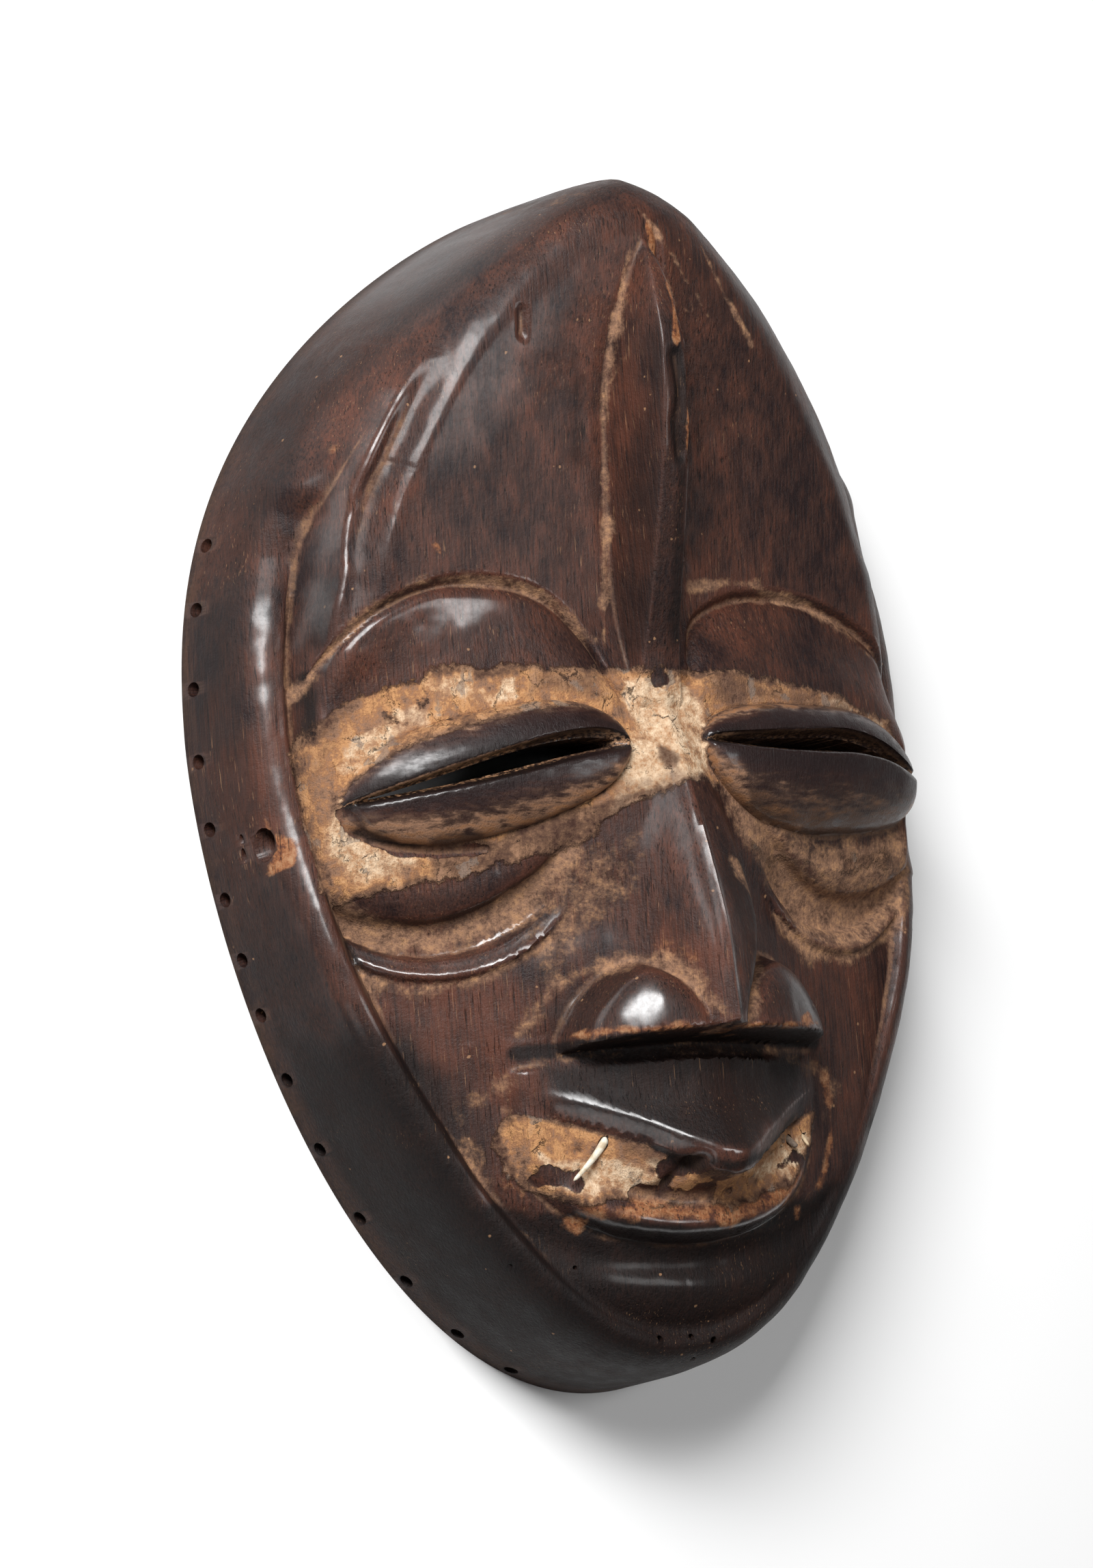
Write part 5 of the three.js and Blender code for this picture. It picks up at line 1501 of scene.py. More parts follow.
    def lids_over(self, x: Array, y: Array) -> tuple[Array, Array]:
        """Where the lids lie, and how far up or down they reach there.

        Args:
            x: Places across.
            y: Places along.

        Returns:
            1 on the lids and 0 beside them, and a share that goes from 0 at the slit to 1 at the lids'
            outline, negative on the lower lid.
        """
        half_of = self.carving.half_of
        span = half_of(x, lambda half, out: half.eye.span(out))
        off = y - half_of(x, lambda half, out: half.eye.slit.at(out))
        above = half_of(x, lambda half, out: np.full_like(out, half.eye.above))
        below = half_of(x, lambda half, out: np.full_like(out, half.eye.below))
        gap = half_of(x, lambda half, out: half.eye.gap.at(out)) * span
        up = (off - gap) / np.maximum(above * span - gap, 1e-3)
        down = off / np.maximum(below * span, 1e-3)
        share = np.where(off > gap, up, np.where(off < 0, down, 0))
        return rise(*self.lid_edge, np.abs(share)) * (span > self.lid_least_span), clamp(share, -1, 1)

    def cutters(self) -> list[tuple[Array, Array]]:
        """What is cut out of the wood: both slits, the tie holes and the worn hole."""
        cuts = [self._slit(-1, LEFT.eye), self._slit(1, RIGHT.eye)]
        for sign in (-1, 1):
            for y in self.tie_hole_ys:
                hole = self._wall_hole(
                    sign, y, self.tie_hole_height, self.tie_hole_radius, self.tie_hole_depth
                )
                cuts.append(hole)
        for y, z, radius, along, depth in self.worn_holes:
            cuts.append(self._wall_hole(-1, y, z, radius, depth, along / radius))
        for x, y, radius in self.nail_holes:
            top = float(self.carving.face_height(np.array([x], float), np.array([y], float))[0])
            foot, above = Vector((x, y, top - self.nail_hole_depth)), Vector((x, y, top + CLEARANCE))
            cuts.append(rod(foot, above, radius, NAIL_HOLE_SIDES))
        for tooth in TEETH:
            cuts.append(tooth.solid(self.socket_gap))
        return cuts

    def _slit(self, sign: int, eye: Eye) -> tuple[Array, Array]:
        """The blade-shaped hole between one eye's lids, right through the wood."""
        k = np.arange(self.slit_steps + 1)
        inner, outer = self.slit_margins
        out = mix(eye.inner + inner, eye.outer - outer, k / self.slit_steps)
        opening = np.sin(math.pi * (k + self.slit_end) / (self.slit_steps + 2 * self.slit_end)) ** 0.5
        base = eye.slit.at(out) + self.slit_base
        lower = columns(sign * out, base)
        height = np.maximum(eye.gap.at(out) - self.slit_narrowing, self.slit_least)
        upper = columns(sign * out, base + height * opening)
        ring = np.concatenate([lower, upper[::-1]])
        if sign < 0:
            ring = ring[::-1]
        return prism(ring, *self.cut_heights)

    def _wall_hole(
        self, sign: int, y: float, z: float, radius: float, depth: float, stretch: float = 1.0
    ) -> tuple[Array, Array]:
        """A hole straight in through the outer wall.

        Args:
            sign: -1 for the left side and 1 for the right.
            y: Where along the mask.
            z: How high above the rim.
            radius: Its radius, measured upwards.
            depth: How deep it goes from the rim's line.
            stretch: How much longer than high it is.

        Returns:
            The points and triangles of what is cut out.
        """
        outline = self.carving.outline
        x = sign * outline.half_width_at(y)
        rim = outline.loop(FINE_RIM_POINTS)
        nearest = np.hypot(rim[:, 0] - x, rim[:, 1] - y).argmin()
        inward = Vector((*inward_of(rim)[nearest], 0))
        start = Vector((x, y, z)) - inward * START_OUTSIDE
        points, faces = rod(start, start + inward * (depth + 2 * START_OUTSIDE), radius, WALL_HOLE_SIDES)
        if stretch != 1:
            points[:, 1] = y + (points[:, 1] - y) * stretch
        return points, faces

    def paint(self, mesh: bpy.types.Mesh) -> None:
        """Lays the coats on the finished piece, as values kept on its points.

        Args:
            mesh: The piece's mesh.
        """
        count = len(mesh.vertices)
        place, normal = np.empty(3 * count, np.float32), np.empty(3 * count, np.float32)
        mesh.vertices.foreach_get("co", place)
        mesh.vertices.foreach_get("normal", normal)
        place, normal = place.reshape(-1, 3) / MM, normal.reshape(-1, 3)
        within = self.within(place, normal)
        lid, share = self.lids_over(place[:, 0], place[:, 1])
        values = {coat.value: layer * (1 - within) for coat, layer in self.coats(place).items()}
        values |= {"lid": lid * (1 - within), "lid_share": share * 0.5 + 0.5, "within": within}
        values["hollow"] = self.hollowness(mesh, place, normal)
        for name, shares in values.items():
            layer = mesh.attributes.new(name, "FLOAT", "POINT")
            layer.data.foreach_set("value", np.asarray(shares, np.float32))

    def within(self, place: Array, normal: Array) -> Array:
        """How much each point lies in the back's hollow, in a slit or in a tie hole."""
        x, y, z = place.T
        inset, _ = self.carving.from_rim(x, y)
        sunk = self.carving.face_height(x, y) - z
        in_slit = rise(*self.under_face, sunk) * (inset > self.under_face_inset)
        within = np.maximum(rise(*self.facing_down, normal[:, 2]), in_slit)
        for hole in self.tie_hole_ys:
            off = np.abs(x) - self.carving.outline.half_width_at(hole)
            near = np.hypot(y - hole, z - self.tie_hole_height) < self.tie_hole_radius + self.hole_rim
            within[near & (np.abs(off) < self.hole_reach) & (inset > 1)] = 1
        return within

    def hollowness(self, mesh: bpy.types.Mesh, place: Array, normal: Array) -> Array:
        """How much each point lies in a hollow, with 0.5 on level wood and less on an edge."""
        ends = np.empty(2 * len(mesh.edges), np.int32)
        mesh.edges.foreach_get("vertices", ends)
        one, two = ends.reshape(-1, 2).T
        size = len(place)
        count = np.maximum(np.bincount(ends, minlength=size), 1)[:, None]
        even = place
        span = np.linalg.norm(place[one] - place[two], axis=1)
        reach = (np.bincount(one, span, size) + np.bincount(two, span, size)) / count[:, 0]
        for _ in range(self.hollow_rounds):
            total = []
            for c in range(3):
                total.append(np.bincount(one, even[two, c], size) + np.bincount(two, even[one, c], size))
            even = even / 2 + columns(*total) / count / 2
        sunk = ((even - place) * normal).sum(1) * self.hollow_strength
        return clamp(0.5 + sunk / np.maximum(reach, self.hollow_least_reach) ** 2)

    def build(self) -> bpy.types.Object:
        """Builds the piece, cut and finished.

        Returns:
            The object, in place.
        """
        points, faces = self.skin()
        log.info("mask_body: %d triangles before cutting", len(faces))
        normals = point_normals(points, faces)
        points = points + normals * self.relief(points)[:, None]
        piece = bpy.data.objects.new("mask_carving", mesh_of("mask_carving", points, faces))
        bpy.context.scene.collection.objects.link(piece)
        cut_away(piece, self.cutters())
        self.paint(piece.data)
        piece.data.shade_smooth()
        piece.data.set_sharp_from_angle(angle=math.radians(self.sharp_angle))
        return piece


def prism(ring: Array, low: float, high: float) -> tuple[Array, Array]:
    """An upright solid over an outline that runs anticlockwise.

    Args:
        ring: The outline's points, lower edge first and then the upper edge back.
        low: The height of its underside.
        high: The height of its top.

    Returns:
        The points and triangles.
    """
    count = len(ring)
    points = np.concatenate([np.c_[ring, np.full(count, low)], np.c_[ring, np.full(count, high)]])
    k = np.arange(count)
    n = (k + 1) % count
    sides = [columns(k, n, n + count), columns(k, n + count, k + count)]
    half = count // 2
    i = np.arange(half - 1)
    a, b, c, d = i, i + 1, count - 2 - i, count - 1 - i
    base = np.concatenate([columns(a, c, b), columns(a, d, c)])
    return points, np.concatenate([*sides, base, base[:, ::-1] + count])


def rod(start: Vector, end: Vector, radius: float, sides: int) -> tuple[Array, Array]:
    """A round rod between two points, as points and triangles."""
    axis = (end - start).normalized()
    one = axis.orthogonal().normalized()
    two = axis.cross(one)
    turn = 2 * math.pi * np.arange(sides) / sides
    ring = np.outer(np.cos(turn), one) + np.outer(np.sin(turn), two)
    points = np.concatenate([ring * radius + start, ring * radius + end, [start], [end]])
    k = np.arange(sides)
    n = (k + 1) % sides
    first, last = np.full(sides, 2 * sides), np.full(sides, 2 * sides + 1)
    faces = [
        columns(k, n, n + sides),
        columns(k, n + sides, k + sides),
        columns(first, n, k),
        columns(last, k + sides, n + sides),
    ]
    return points, np.concatenate(faces)


def cut_away(piece: bpy.types.Object, cutters: list[tuple[Array, Array]]) -> None:
    """Cuts solids that don't touch each other out of a piece, for good.

    Args:
        piece: The piece that is cut.
        cutters: The points and triangles of each solid.
    """
    points, faces, count = [], [], 0
    for cutter_points, cutter_faces in cutters:
        points.append(cutter_points)
        faces.append(cutter_faces + count)
        count += len(cutter_points)
    cutter = bpy.data.objects.new("cutter", mesh_of("cutter", np.concatenate(points), np.concatenate(faces)))
    bpy.context.scene.collection.objects.link(cutter)
    cut = piece.modifiers.new("cut", "BOOLEAN")
    cut.operation = "DIFFERENCE"
    cut.solver = "EXACT"
    cut.object = cutter
    bpy.context.view_layer.update()
    done = piece.evaluated_get(bpy.context.evaluated_depsgraph_get())
    mesh = bpy.data.meshes.new_from_object(done)
    piece.modifiers.clear()
    piece.data = mesh
    bpy.data.objects.remove(cutter)


@dataclass
class Tooth:
    """One tooth: a thin tapering peg along a slightly bent line from its root to its tip."""

    name: str
    root: Triple
    tip: Triple
    bow: Triple
    radius: float
    tip_radius: float
    slot: str
    rings: int = 24
    sides: int = 20
    taper: float = 1.3
    flatness: float = 0.8
    tip_from: float = 0.93
    tip_length: float = 0.075
    lumps: Lumps = Lumps(21, 1.6, 0.06, 1)

    def solid(self, grow: float = 0.0) -> tuple[Array, Array]:
        """The tooth's points and triangles, grown on all sides for its socket."""
        root, tip, bow = (np.array(v, float) for v in (self.root, self.tip, self.bow))
        middle = (root + tip) / 2 + bow
        axis = (tip - root) / np.linalg.norm(tip - root)
        one = np.cross(axis, [0, 0, 1])
        one /= np.linalg.norm(one)
        two = np.cross(axis, one)
        turn = 2 * math.pi * np.arange(self.sides) / self.sides
        points, faces = [], []
        for k in range(self.rings + 1):
            t = k / self.rings
            at = (1 - t) ** 2 * root + 2 * t * (1 - t) * middle + t * t * tip
            rounded = math.sqrt(1 - max(0, (t - self.tip_from) / self.tip_length) ** 2)
            width = mix(self.radius, self.tip_radius, t**self.taper) * rounded
            around = np.outer(np.cos(turn), one) + np.outer(np.sin(turn), two) * self.flatness
            ring = at + around * (width + grow) + axis * grow * (2 * t - 1)
            points.append(ring)
            if k:
                a = (k - 1) * self.sides + np.arange(self.sides)
                b = (k - 1) * self.sides + (np.arange(self.sides) + 1) % self.sides
                faces += [columns(a, b, b + self.sides), columns(a, b + self.sides, a + self.sides)]
        total = (self.rings + 1) * self.sides
        points += [(root - axis * grow)[None], (tip + axis * (grow + 0.02))[None]]
        k = np.arange(self.sides)
        n = (k + 1) % self.sides
        faces.append(columns(np.full(self.sides, total), n, k))
        last = total - self.sides
        faces.append(columns(np.full(self.sides, total + 1), k + last, n + last))
        return np.concatenate(points), np.concatenate(faces)

    def build(self) -> bpy.types.Object:
        """Builds the tooth, a little uneven, with a rounded tip."""
        place, faces = self.solid()
        place = place + self.lumps.at(place)[:, None]
        mesh = mesh_of(self.name + "_peg", place, faces)
        mesh.shade_smooth()
        piece = bpy.data.objects.new(self.name + "_peg", mesh)
        bpy.context.scene.collection.objects.link(piece)
        return piece


TEETH = (
    Tooth(
        "tooth_right", (-17.6, -70.8, 41.5), (-26.9, -80.3, 41.2), (0.5, -0.4, 0.9), 0.95, 0.35,
        "white_tooth",
    ),
    Tooth("tooth_left", (28.6, -70.4, 34.6), (30.6, -75.6, 38.6), (0.3, 0.0, 0.4), 0.6, 0.3, "tan_tooth"),
    Tooth(
        "tooth_left_stub", (25.2, -72.6, 36.2), (26.6, -75.9, 40.2), (0.0, 0.0, 0.0), 0.85, 0.6,
        "dull_tooth",
    ),
)


@dataclass(frozen=True)
class Value:
    """A number that changes over a surface, with the usual sums written as usual."""

    graph: "Graph"
    socket: bpy.types.NodeSocket

    def _math(self, operation: str, *values: "Value | float") -> "Value":
        """Adds a Math node."""
        return self.graph.value("ShaderNodeMath", {"operation": operation}, dict(enumerate(values)))

    def __add__(self, other: "Value | float") -> "Value":
        """This plus another."""
        return self._math("ADD", self, other)

    __radd__ = __add__

    def __sub__(self, other: "Value | float") -> "Value":
        """This less another."""
        return self._math("SUBTRACT", self, other)

    def __rsub__(self, other: float) -> "Value":
        """A number less this."""
        return self._math("SUBTRACT", other, self)

    def __mul__(self, other: "Value | float") -> "Value":
        """This times another."""
        return self._math("MULTIPLY", self, other)

    __rmul__ = __mul__

    def higher(self, other: "Value | float") -> "Value":
        """The higher of this and another."""
        return self._math("MAXIMUM", self, other)

    def towards(self, other: "Value | float", share: "Value | float") -> "Value":
        """This at share 0 and the other at 1."""
        return self + (other - self) * share

    def varied(self, *noises: tuple["Value", float]) -> "Value":
        """This with noises added, each going up and down from its middle at 0.5, times its strength."""
        total = self
        for noise, strength in noises:
            total = total + (noise - 0.5) * strength
        return total

    def rise(self, start: float, end: float) -> "Value":
        """A smooth step of this value, from 0 at start to 1 at end."""
        settings = {"interpolation_type": "SMOOTHSTEP"}
        sockets = {"Value": self, "From Min": start, "From Max": end, "To Min": 0.0, "To Max": 1.0}
        return self.graph.value("ShaderNodeMapRange", settings, sockets)


Colour = Triple
Settings = dict[str, object]
Sockets = dict[str | int, object]


@dataclass
class Graph:
    """The nodes of one material, with its Principled shader."""

    material: bpy.types.Material
    shader: bpy.types.Node = field(init=False)

    @classmethod
    def named(cls, name: str) -> "Graph":
        """A new material with nothing but its shader."""
        material = bpy.data.materials.new(name)
        material.use_nodes = True
        return cls(material)

    def __post_init__(self) -> None:
        """Finds the shader that a new material has."""
        self.shader = self.material.node_tree.nodes["Principled BSDF"]

    def node(self, kind: str, settings: Settings, sockets: Sockets) -> bpy.types.Node:
        """Adds one node.

        Args:
            kind: The node's type.
            settings: Its properties, which are set first. A ramp's stops come as pairs under "stops".
            sockets: Values or links for its inputs, by name or number.

        Returns:
            The node.
        """
        node = self.material.node_tree.nodes.new(kind)
        for key, setting in settings.items():
            if key == "stops":
                self._set_stops(node, setting)
            else:
                setattr(node, key, setting)
        for key, given in sockets.items():
            self.link(node.inputs[key], given)
        return node

    def _set_stops(self, node: bpy.types.Node, stops: tuple[tuple[float, Colour], ...]) -> None:
        """Sets the colours of a ramp."""
        elements = node.color_ramp.elements
        while len(elements) < len(stops):
            elements.new(0.5)
        for element, (place, colour) in zip(elements, stops):
            element.position = place
            element.color = (*colour, 1)

    def link(self, socket: bpy.types.NodeSocket, given: object) -> None:
        """Links a socket to another node's output, or sets its own value."""
        if isinstance(given, Value):
            given = given.socket
        if isinstance(given, bpy.types.NodeSocket):
            self.material.node_tree.links.new(given, socket)
        elif socket.type == "RGBA" and isinstance(given, tuple) and len(given) == 3:
            socket.default_value = (*given, 1)
        else:
            socket.default_value = given

    def value(self, kind: str, settings: Settings, sockets: Sockets) -> Value:
        """Adds a node and takes its first output as a number."""
        return Value(self, self.node(kind, settings, sockets).outputs[0])

    def place(self, scale: Colour) -> bpy.types.NodeSocket:
        """Places on the object, stretched along X, Y and Z."""
        place = self.node("ShaderNodeTexCoord", {}, {}).outputs["Object"]
        mapped = self.node("ShaderNodeMapping", {}, {"Vector": place, "Scale": scale})
        return mapped.outputs["Vector"]

    def noise(self, size: float | Colour, detail: float = 3.0, roughness: float = 0.55) -> Value:
        """Cloudy noise between 0 and 1.

        Args:
            size: The size of its clouds in millimetres, alike or along X, Y and Z.
            detail: How many finer layers it has.
            roughness: How strong they are.

        Returns:
            The noise.
        """
        sizes = size if isinstance(size, tuple) else (size, size, size)
        scale = tuple(1 / (s * MM) for s in sizes)
        sockets = {"Vector": self.place(scale), "Scale": 1.0, "Detail": detail, "Roughness": roughness}
        return self.value("ShaderNodeTexNoise", {}, sockets)

    def cells(self, size: float, feature: str, warp: Value | None = None) -> bpy.types.Node:
        """Cells of a size in millimetres, measured from their edges or their middles."""
        where = self.place((1 / (size * MM),) * 3)
        if warp is not None:
            where = self.node("ShaderNodeVectorMath", {"operation": "ADD"}, {0: where, 1: warp}).outputs[0]
        return self.node("ShaderNodeTexVoronoi", {"feature": feature}, {"Vector": where, "Scale": 1.0})

    def painted(self, name: str) -> Value:
        """What was painted on the mesh's points under a name."""
        return Value(self, self.node("ShaderNodeAttribute", {"attribute_name": name}, {}).outputs["Fac"])

    def blend(self, share: Value | float, a: object, b: object, mode: str = "MIX") -> bpy.types.NodeSocket:
        """Mixes two colours, from a at 0 to b at 1."""
        settings = {"data_type": "RGBA", "blend_type": mode}
        return self.node("ShaderNodeMix", settings, {0: share, 6: a, 7: b}).outputs[2]

    def ramp(self, share: Value, *stops: tuple[float, Colour]) -> bpy.types.NodeSocket:
        """A colour for each value, smoothly between its stops."""
        return self.node("ShaderNodeValToRGB", {"stops": stops}, {"Fac": share}).outputs["Color"]

    def bump(self, height: Value, millimetres: float, under: object = None) -> bpy.types.NodeSocket:
        """Fine relief from a height, over another relief if one is given."""
        sockets = {"Height": height, "Distance": millimetres * MM, "Strength": 1.0}
        if under is not None:
            sockets["Normal"] = under
        return self.node("ShaderNodeBump", {}, sockets).outputs["Normal"]


@dataclass(frozen=True)
class PatinaFinish:
    """Dark hand-polished wood with a dry crust, dust and wear where they are painted, and black painted shade
    under the nose, the lips and on the chin.
    """

    black: Colour = (0.005, 0.004, 0.004)
    dark: Colour = (0.015, 0.008, 0.008)
    brown: Colour = (0.043, 0.019, 0.014)
    red: Colour = (0.088, 0.031, 0.019)
    bare: Colour = (0.30, 0.115, 0.045)
    tan: Colour = (0.42, 0.23, 0.12)
    dust: Colour = (0.26, 0.145, 0.09)
    dark_dust: Colour = (0.10, 0.055, 0.036)
    ochre: Colour = (0.30, 0.145, 0.07)
    orange: Colour = (0.47, 0.24, 0.105)
    clay: Colour = (0.52, 0.35, 0.22)
    cream: Colour = (0.72, 0.54, 0.37)
    grey: Colour = (0.17, 0.14, 0.12)
    shaded_raw_wood: Colour = (0.045, 0.026, 0.017)
    sheen: float = 0.17
    polish_roughness: float = 0.2
    polish_index: float = 1.65
    relief: float = 0.26

    def material(self) -> bpy.types.Material:
        """Builds the finish."""
        graph = Graph.named("patinated_wood")
        coat = {kind: graph.painted(kind.value) for kind in Coat}
        hollow, lid, lid_share, within = map(graph.painted, ("hollow", "lid", "lid_share", "within"))
        broad = graph.noise(30, 3)
        patches = graph.noise((5, 9, 5), 5, 0.6)
        clouds = graph.noise(3.2, 6, 0.7)
        fine = graph.noise(0.9, 5, 0.65)
        grain = graph.noise((0.45, 12, 0.45), 4, 0.6)
        crumbs = graph.noise(0.35, 3, 0.6)

        tone = broad * 0.35 + patches * 0.33 + grain * 0.32
        wood = graph.ramp(tone, (0.41, self.dark), (0.50, self.brown), (0.60, self.red))
        # Soot blends the wood towards black: dark patina in places, and painted shade under the nose, the lips
        # and on the chin.
        soot_and_shade = coat[Coat.SOOT].varied((patches, 0.6)).rise(0.1, 0.9)
        wood = graph.blend(soot_and_shade * 0.85, wood, self.black)
        rubbed = hollow.varied((clouds, 0.3)).rise(0.3, 0.05) * (1 - soot_and_shade)
        wood = graph.blend(rubbed * 0.4, wood, self.red)
        worn = coat[Coat.WORN].varied((clouds, 0.9)).rise(0.35, 0.8)
        worn_wood = graph.ramp(
            fine * 0.5 + clouds * 0.5, (0.40, self.red), (0.50, self.bare), (0.62, self.tan)
        )
        wood = graph.blend(worn * 0.8, wood, worn_wood)
        specks = graph.cells(3.2, "F1", (fine - 0.5) * 0.2)
        speck = Value(graph, specks.outputs["Distance"]).rise(0.115, 0.07)
        speck = speck * Value(graph, specks.outputs["Color"]).rise(0.76, 0.78)
        wood = graph.blend(speck * 0.55, wood, self.tan)
        hairs = graph.noise((0.35, 7, 0.35), 3, 0.5).rise(0.60, 0.68) * patches.rise(0.42, 0.55)
        wood = graph.blend(hairs * 0.75, wood, self.black)
        scratches = graph.noise((0.3, 8, 0.3), 2, 0.5).rise(0.66, 0.72) * broad.rise(0.46, 0.56)
        wood = graph.blend(scratches * 0.3, wood, self.tan)

        streaks = graph.noise((5, 1.4, 3), 5, 0.65)
        drift = (streaks - 0.5) * (0.46 - lid_share).higher(lid_share - 0.58).higher(0) * 2.6
        lids = graph.ramp(
            (lid_share + drift).varied((fine, 0.05)),
            (0.0, self.ochre), (0.13, self.dust), (0.22, self.dark_dust), (0.31, self.brown),
            (0.38, self.dark), (0.47, self.black), (0.499, self.black), (0.503, self.tan),
            (0.514, self.dust), (0.53, self.black), (0.70, self.dark), (0.84, self.brown),
            (0.90, self.dark_dust), (0.96, self.dust), (1.0, self.ochre),
        )
        lid_grime = coat[Coat.GRIME].varied((streaks, 1.4)).rise(0.2, 0.9)
        lids = graph.blend(lid_grime * 0.75, lids, self.dark)
        wood = graph.blend(lid * 0.92, wood, lids)

        powder = coat[Coat.DUST].varied((clouds, 0.8), (fine, 0.5), (hollow, 0.6)).rise(0.3, 1.0)
        settled = hollow.varied((clouds, 0.4)).rise(0.66, 1.0) * (1 - soot_and_shade) * 0.5
        powder = powder.higher(settled) * (1 - lid * 0.7)
        powder_tone = graph.ramp(
            fine * 0.4 + clouds * 0.6, (0.38, self.dark_dust), (0.5, self.dust), (0.62, self.tan)
        )
        colour = graph.blend(powder * 0.88, wood, powder_tone)

        left = coat[Coat.CRUST] - coat[Coat.FLAKED]
        crust = left.varied((clouds, 1.0), (fine, 0.35)).rise(0.38, 0.60)
        pale = coat[Coat.PALE].varied((clouds, 1.1), (patches, 0.9)).rise(0.25, 0.8)
        mottle = clouds * 0.4 + fine * 0.2 + patches * 0.4
        earth = graph.ramp(
            mottle, (0.38, self.dark_dust), (0.44, self.dust), (0.49, self.ochre), (0.54, self.orange),
            (0.62, self.tan),
        )
        clay = graph.ramp(
            fine * 0.35 + clouds * 0.65,
            (0.36, self.dust), (0.43, self.tan), (0.50, self.clay), (0.60, self.cream),
        )
        earth = graph.blend(pale, earth, clay)
        rim = coat[Coat.CRUST].varied((patches, 0.7), (clouds, 0.5)).rise(1.0, 0.62)
        grime = coat[Coat.GRIME].varied((clouds, 1.2), (patches, 0.8)).rise(0.2, 0.9).higher(rim)
        grime_tone = graph.ramp(mottle, (0.42, self.brown), (0.49, self.dark_dust), (0.60, self.dust))
        earth = graph.blend(grime * 0.9, earth, grime_tone)
        cracks = graph.cells(6, "DISTANCE_TO_EDGE", (clouds - 0.5) * 1.2 + fine * 0.3)
        crack = Value(graph, cracks.outputs["Distance"]).rise(0.026, 0.006) * clouds.rise(0.46, 0.56)
        crack = crack * patches.rise(0.47, 0.56)
        earth = graph.blend(crack * 0.8, earth, self.dark)
        scale = graph.cells(3.1, "F1", clouds * 0.8)
        flake = Value(graph, scale.outputs["Color"]).rise(0.74, 0.76) * patches.rise(0.5, 0.58)
        earth = graph.blend(flake * 0.6, earth, self.grey)
        pits = crumbs.rise(0.36, 0.28) * 0.5
        earth = graph.blend(pits, earth, self.dark_dust)
        colour = graph.blend(crust, colour, earth)
        # Dark raw wood on the back and in the slits and tie holes, kept near black as painted shade inside the
        # slits and holes.
        inside = graph.ramp(grain * 0.5 + patches * 0.5, (0.4, self.dark), (0.6, self.shaded_raw_wood))
        colour = graph.blend(within, colour, inside)
        graph.link(graph.shader.inputs["Base Color"], colour)

        dry = crust.higher(powder * 0.8).higher(within * 0.7)
        satin = (0.42 + worn * 0.2 + soot_and_shade * 0.15).varied((patches, 0.35), (fine, 0.2))
        graph.link(graph.shader.inputs["Roughness"], satin.towards(0.86, dry))
        graph.shader.inputs["Specular IOR Level"].default_value = self.sheen
        polish = coat[Coat.GLOSS].higher(lid * (streaks - 0.3) * 1.2)
        polish = polish.higher(rubbed * 0.4).higher(0.05 - soot_and_shade * 0.05)
        polish = polish * (0.95 + (patches - 0.5) * 1.4 + (fine - 0.5) * 1.2)
        graph.link(graph.shader.inputs["Coat Weight"], polish * (1 - dry) * (1 - worn * 0.6))
        graph.shader.inputs["Coat Roughness"].default_value = self.polish_roughness
        graph.shader.inputs["Coat IOR"].default_value = self.polish_index
        tool_marks = grain * 0.6 + fine * 0.7 + crumbs * 0.3 + patches * 0.6 - hairs * 0.4
        scab = crust * 0.8 + crumbs * (crust * 0.5 + powder * 0.3) - crack * crust * 0.9 + fine * crust * 0.5
        under = graph.bump(tool_marks, self.relief)
        graph.link(graph.shader.inputs["Normal"], graph.bump(scab, self.relief, under))
        return graph.material


@dataclass(frozen=True)
class ToothFinish:
    """A dry tooth, stained in patches."""

    name: str
    clean: Colour
    stained: Colour
    roughness: float

    def material(self) -> bpy.types.Material:
        """Builds the finish."""
        graph = Graph.named(self.name)
        stain = graph.noise((1.5, 1.5, 1.5), 4)
        colour = graph.blend(stain.rise(0.4, 0.65), self.clean, self.stained)
        graph.link(graph.shader.inputs["Base Color"], colour)
        graph.shader.inputs["Roughness"].default_value = self.roughness
        graph.link(graph.shader.inputs["Normal"], graph.bump(graph.noise(0.6, 3), 0.05))
        return graph.material


TOOTH_FINISHES = (
    ToothFinish("white_tooth", (0.72, 0.66, 0.54), (0.5, 0.4, 0.27), 0.38),
    ToothFinish("tan_tooth", (0.56, 0.43, 0.27), (0.33, 0.22, 0.13), 0.55),
    ToothFinish("dull_tooth", (0.2, 0.15, 0.11), (0.1, 0.07, 0.05), 0.7),
)


class LightRole(Enum):
    """What each lamp is for."""

    KEY = "key"
    FRONT = "front"
    FILL = "fill"


@dataclass(frozen=True)
class Lamp:
    """One soft lamp that shines at the mask."""

    role: LightRole
    towards: Triple
    distance: float
    size: Span
    power: float
    aim_height: float = 0.03

    def build(self) -> None:
        """Hangs the lamp in place."""
        light = bpy.data.lights.new(self.role.value, "AREA")
        light.shape = "RECTANGLE"
        light.size, light.size_y = self.size
        light.energy = self.power
        lamp = bpy.data.objects.new(self.role.value, light)
        direction = Vector(self.towards).normalized()
        lamp.location = direction * self.distance + Vector((0, 0, self.aim_height))
        lamp.rotation_euler = direction.to_track_quat("Z", "Y").to_euler()
        bpy.context.scene.collection.objects.link(lamp)


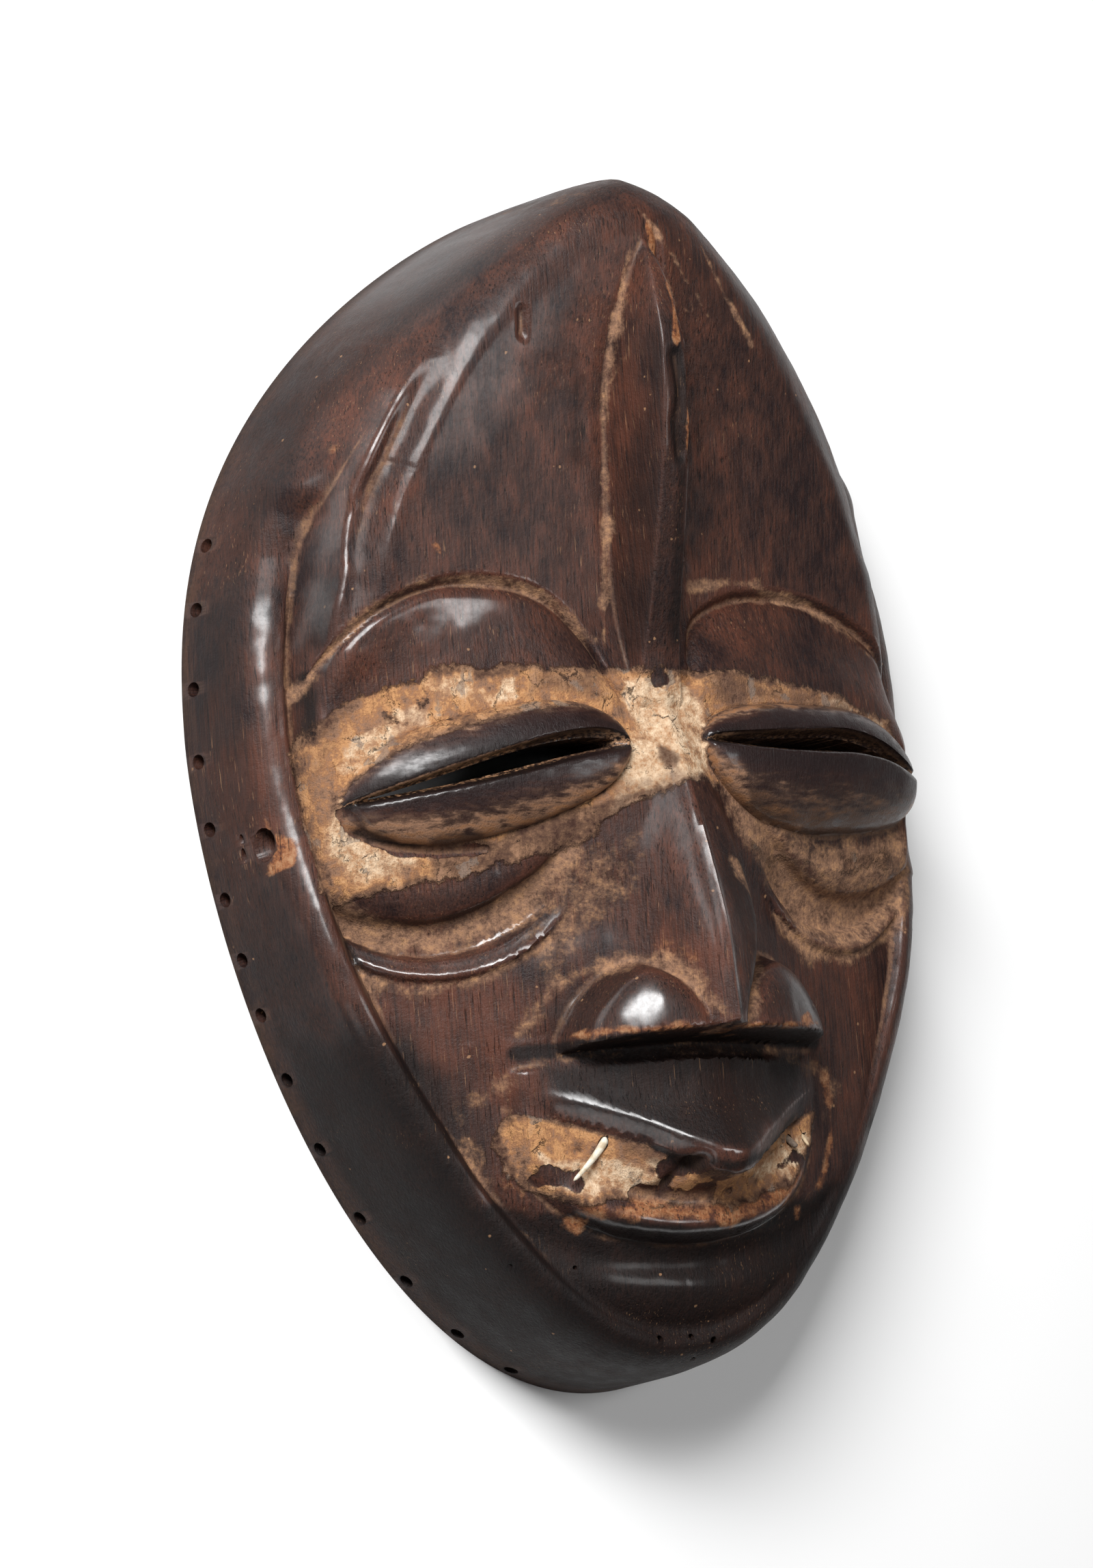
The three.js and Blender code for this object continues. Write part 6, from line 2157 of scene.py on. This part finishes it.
@dataclass
class Studio:
    """The pale floor, the soft lamps and the camera at the photograph's angle."""

    aim: Triple = (-13.8, 0.0, 21.6)
    distance: float = 1200.0
    yaw: float = 32.0
    pitch: float = 6.0
    roll: float = 4.5
    focal_pixels: float = 8784.0
    image_width: int = 1600
    sensor_width: float = 36.0
    far_limit: float = 20.0
    floor_half: float = 3.0
    paper: Colour = (0.9, 0.9, 0.9)
    paper_roughness: float = 0.9
    sky_strength: float = 0.05
    lamps: tuple[Lamp, ...] = (
        Lamp(LightRole.KEY, (-0.55, 0.47, 0.7), 1.1, (0.4, 0.6), 19),
        Lamp(LightRole.FRONT, (0.32, 0.0, 0.95), 1.1, (0.35, 0.5), 3.4),
        Lamp(LightRole.FILL, (-0.8, -0.5, 0.5), 1.4, (0.6, 0.6), 1.6),
    )

    def build(self) -> None:
        """Sets up everything round the mask."""
        self._floor()
        for lamp in self.lamps:
            lamp.build()
        self._camera()
        world = bpy.data.worlds.new("studio")
        world.use_nodes = True
        background = world.node_tree.nodes["Background"]
        background.inputs["Color"].default_value = (1, 1, 1, 1)
        background.inputs["Strength"].default_value = self.sky_strength
        scene = bpy.context.scene
        scene.world = world
        scene.view_settings.view_transform = "Standard"

    def _floor(self) -> None:
        """Lays the floor that the mask lies on."""
        mesh = bpy.data.meshes.new("floor")
        half = self.floor_half
        corners = [(-half, -half, 0), (half, -half, 0), (half, half, 0), (-half, half, 0)]
        mesh.from_pydata(corners, [], [(0, 1, 2, 3)])
        floor = bpy.data.objects.new("floor", mesh)
        bpy.context.scene.collection.objects.link(floor)
        graph = Graph.named("floor_paper")
        graph.shader.inputs["Base Color"].default_value = (*self.paper, 1)
        graph.shader.inputs["Roughness"].default_value = self.paper_roughness
        mesh.materials.append(graph.material)

    def _camera(self) -> None:
        """Puts the camera where the photograph was taken from."""
        yaw, pitch, roll = (math.radians(v) for v in (self.yaw, self.pitch, self.roll))
        back = Vector((-math.sin(yaw) * math.cos(pitch), -math.sin(pitch), math.cos(yaw) * math.cos(pitch)))
        level = Vector((math.cos(yaw), 0, math.sin(yaw)))
        up = back.cross(level)
        right = math.cos(roll) * level - math.sin(roll) * up
        up = back.cross(right)
        camera = bpy.data.cameras.new("photograph")
        camera.sensor_fit = "HORIZONTAL"
        camera.sensor_width = self.sensor_width
        camera.lens = self.focal_pixels * camera.sensor_width / self.image_width
        camera.clip_end = self.far_limit
        viewer = bpy.data.objects.new("photograph", camera)
        place = (Vector(self.aim) + back * self.distance) * MM
        viewer.matrix_world = Matrix.Translation(place) @ Matrix((right, up, back)).transposed().to_4x4()
        bpy.context.scene.collection.objects.link(viewer)
        bpy.context.scene.camera = viewer


def main() -> None:
    """Builds the mask's pieces in order, then the studio round them."""
    logging.basicConfig(level=logging.INFO, format="%(name)s: %(message)s")
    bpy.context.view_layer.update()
    body = MaskBody().build()
    body.data.materials.append(PatinaFinish().material())
    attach(body, "root")
    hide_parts("mask_body")
    log.info("%s: %d faces", body.name, len(body.data.polygons))
    finishes = {finish.name: finish.material() for finish in TOOTH_FINISHES}
    for tooth in TEETH:
        piece = tooth.build()
        piece.data.materials.append(finishes[tooth.slot])
        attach(piece, "root")
        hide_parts(tooth.name)
        log.info("%s: %d faces", piece.name, len(piece.data.polygons))
    Studio().build()


if __name__ == "__main__":
    main()
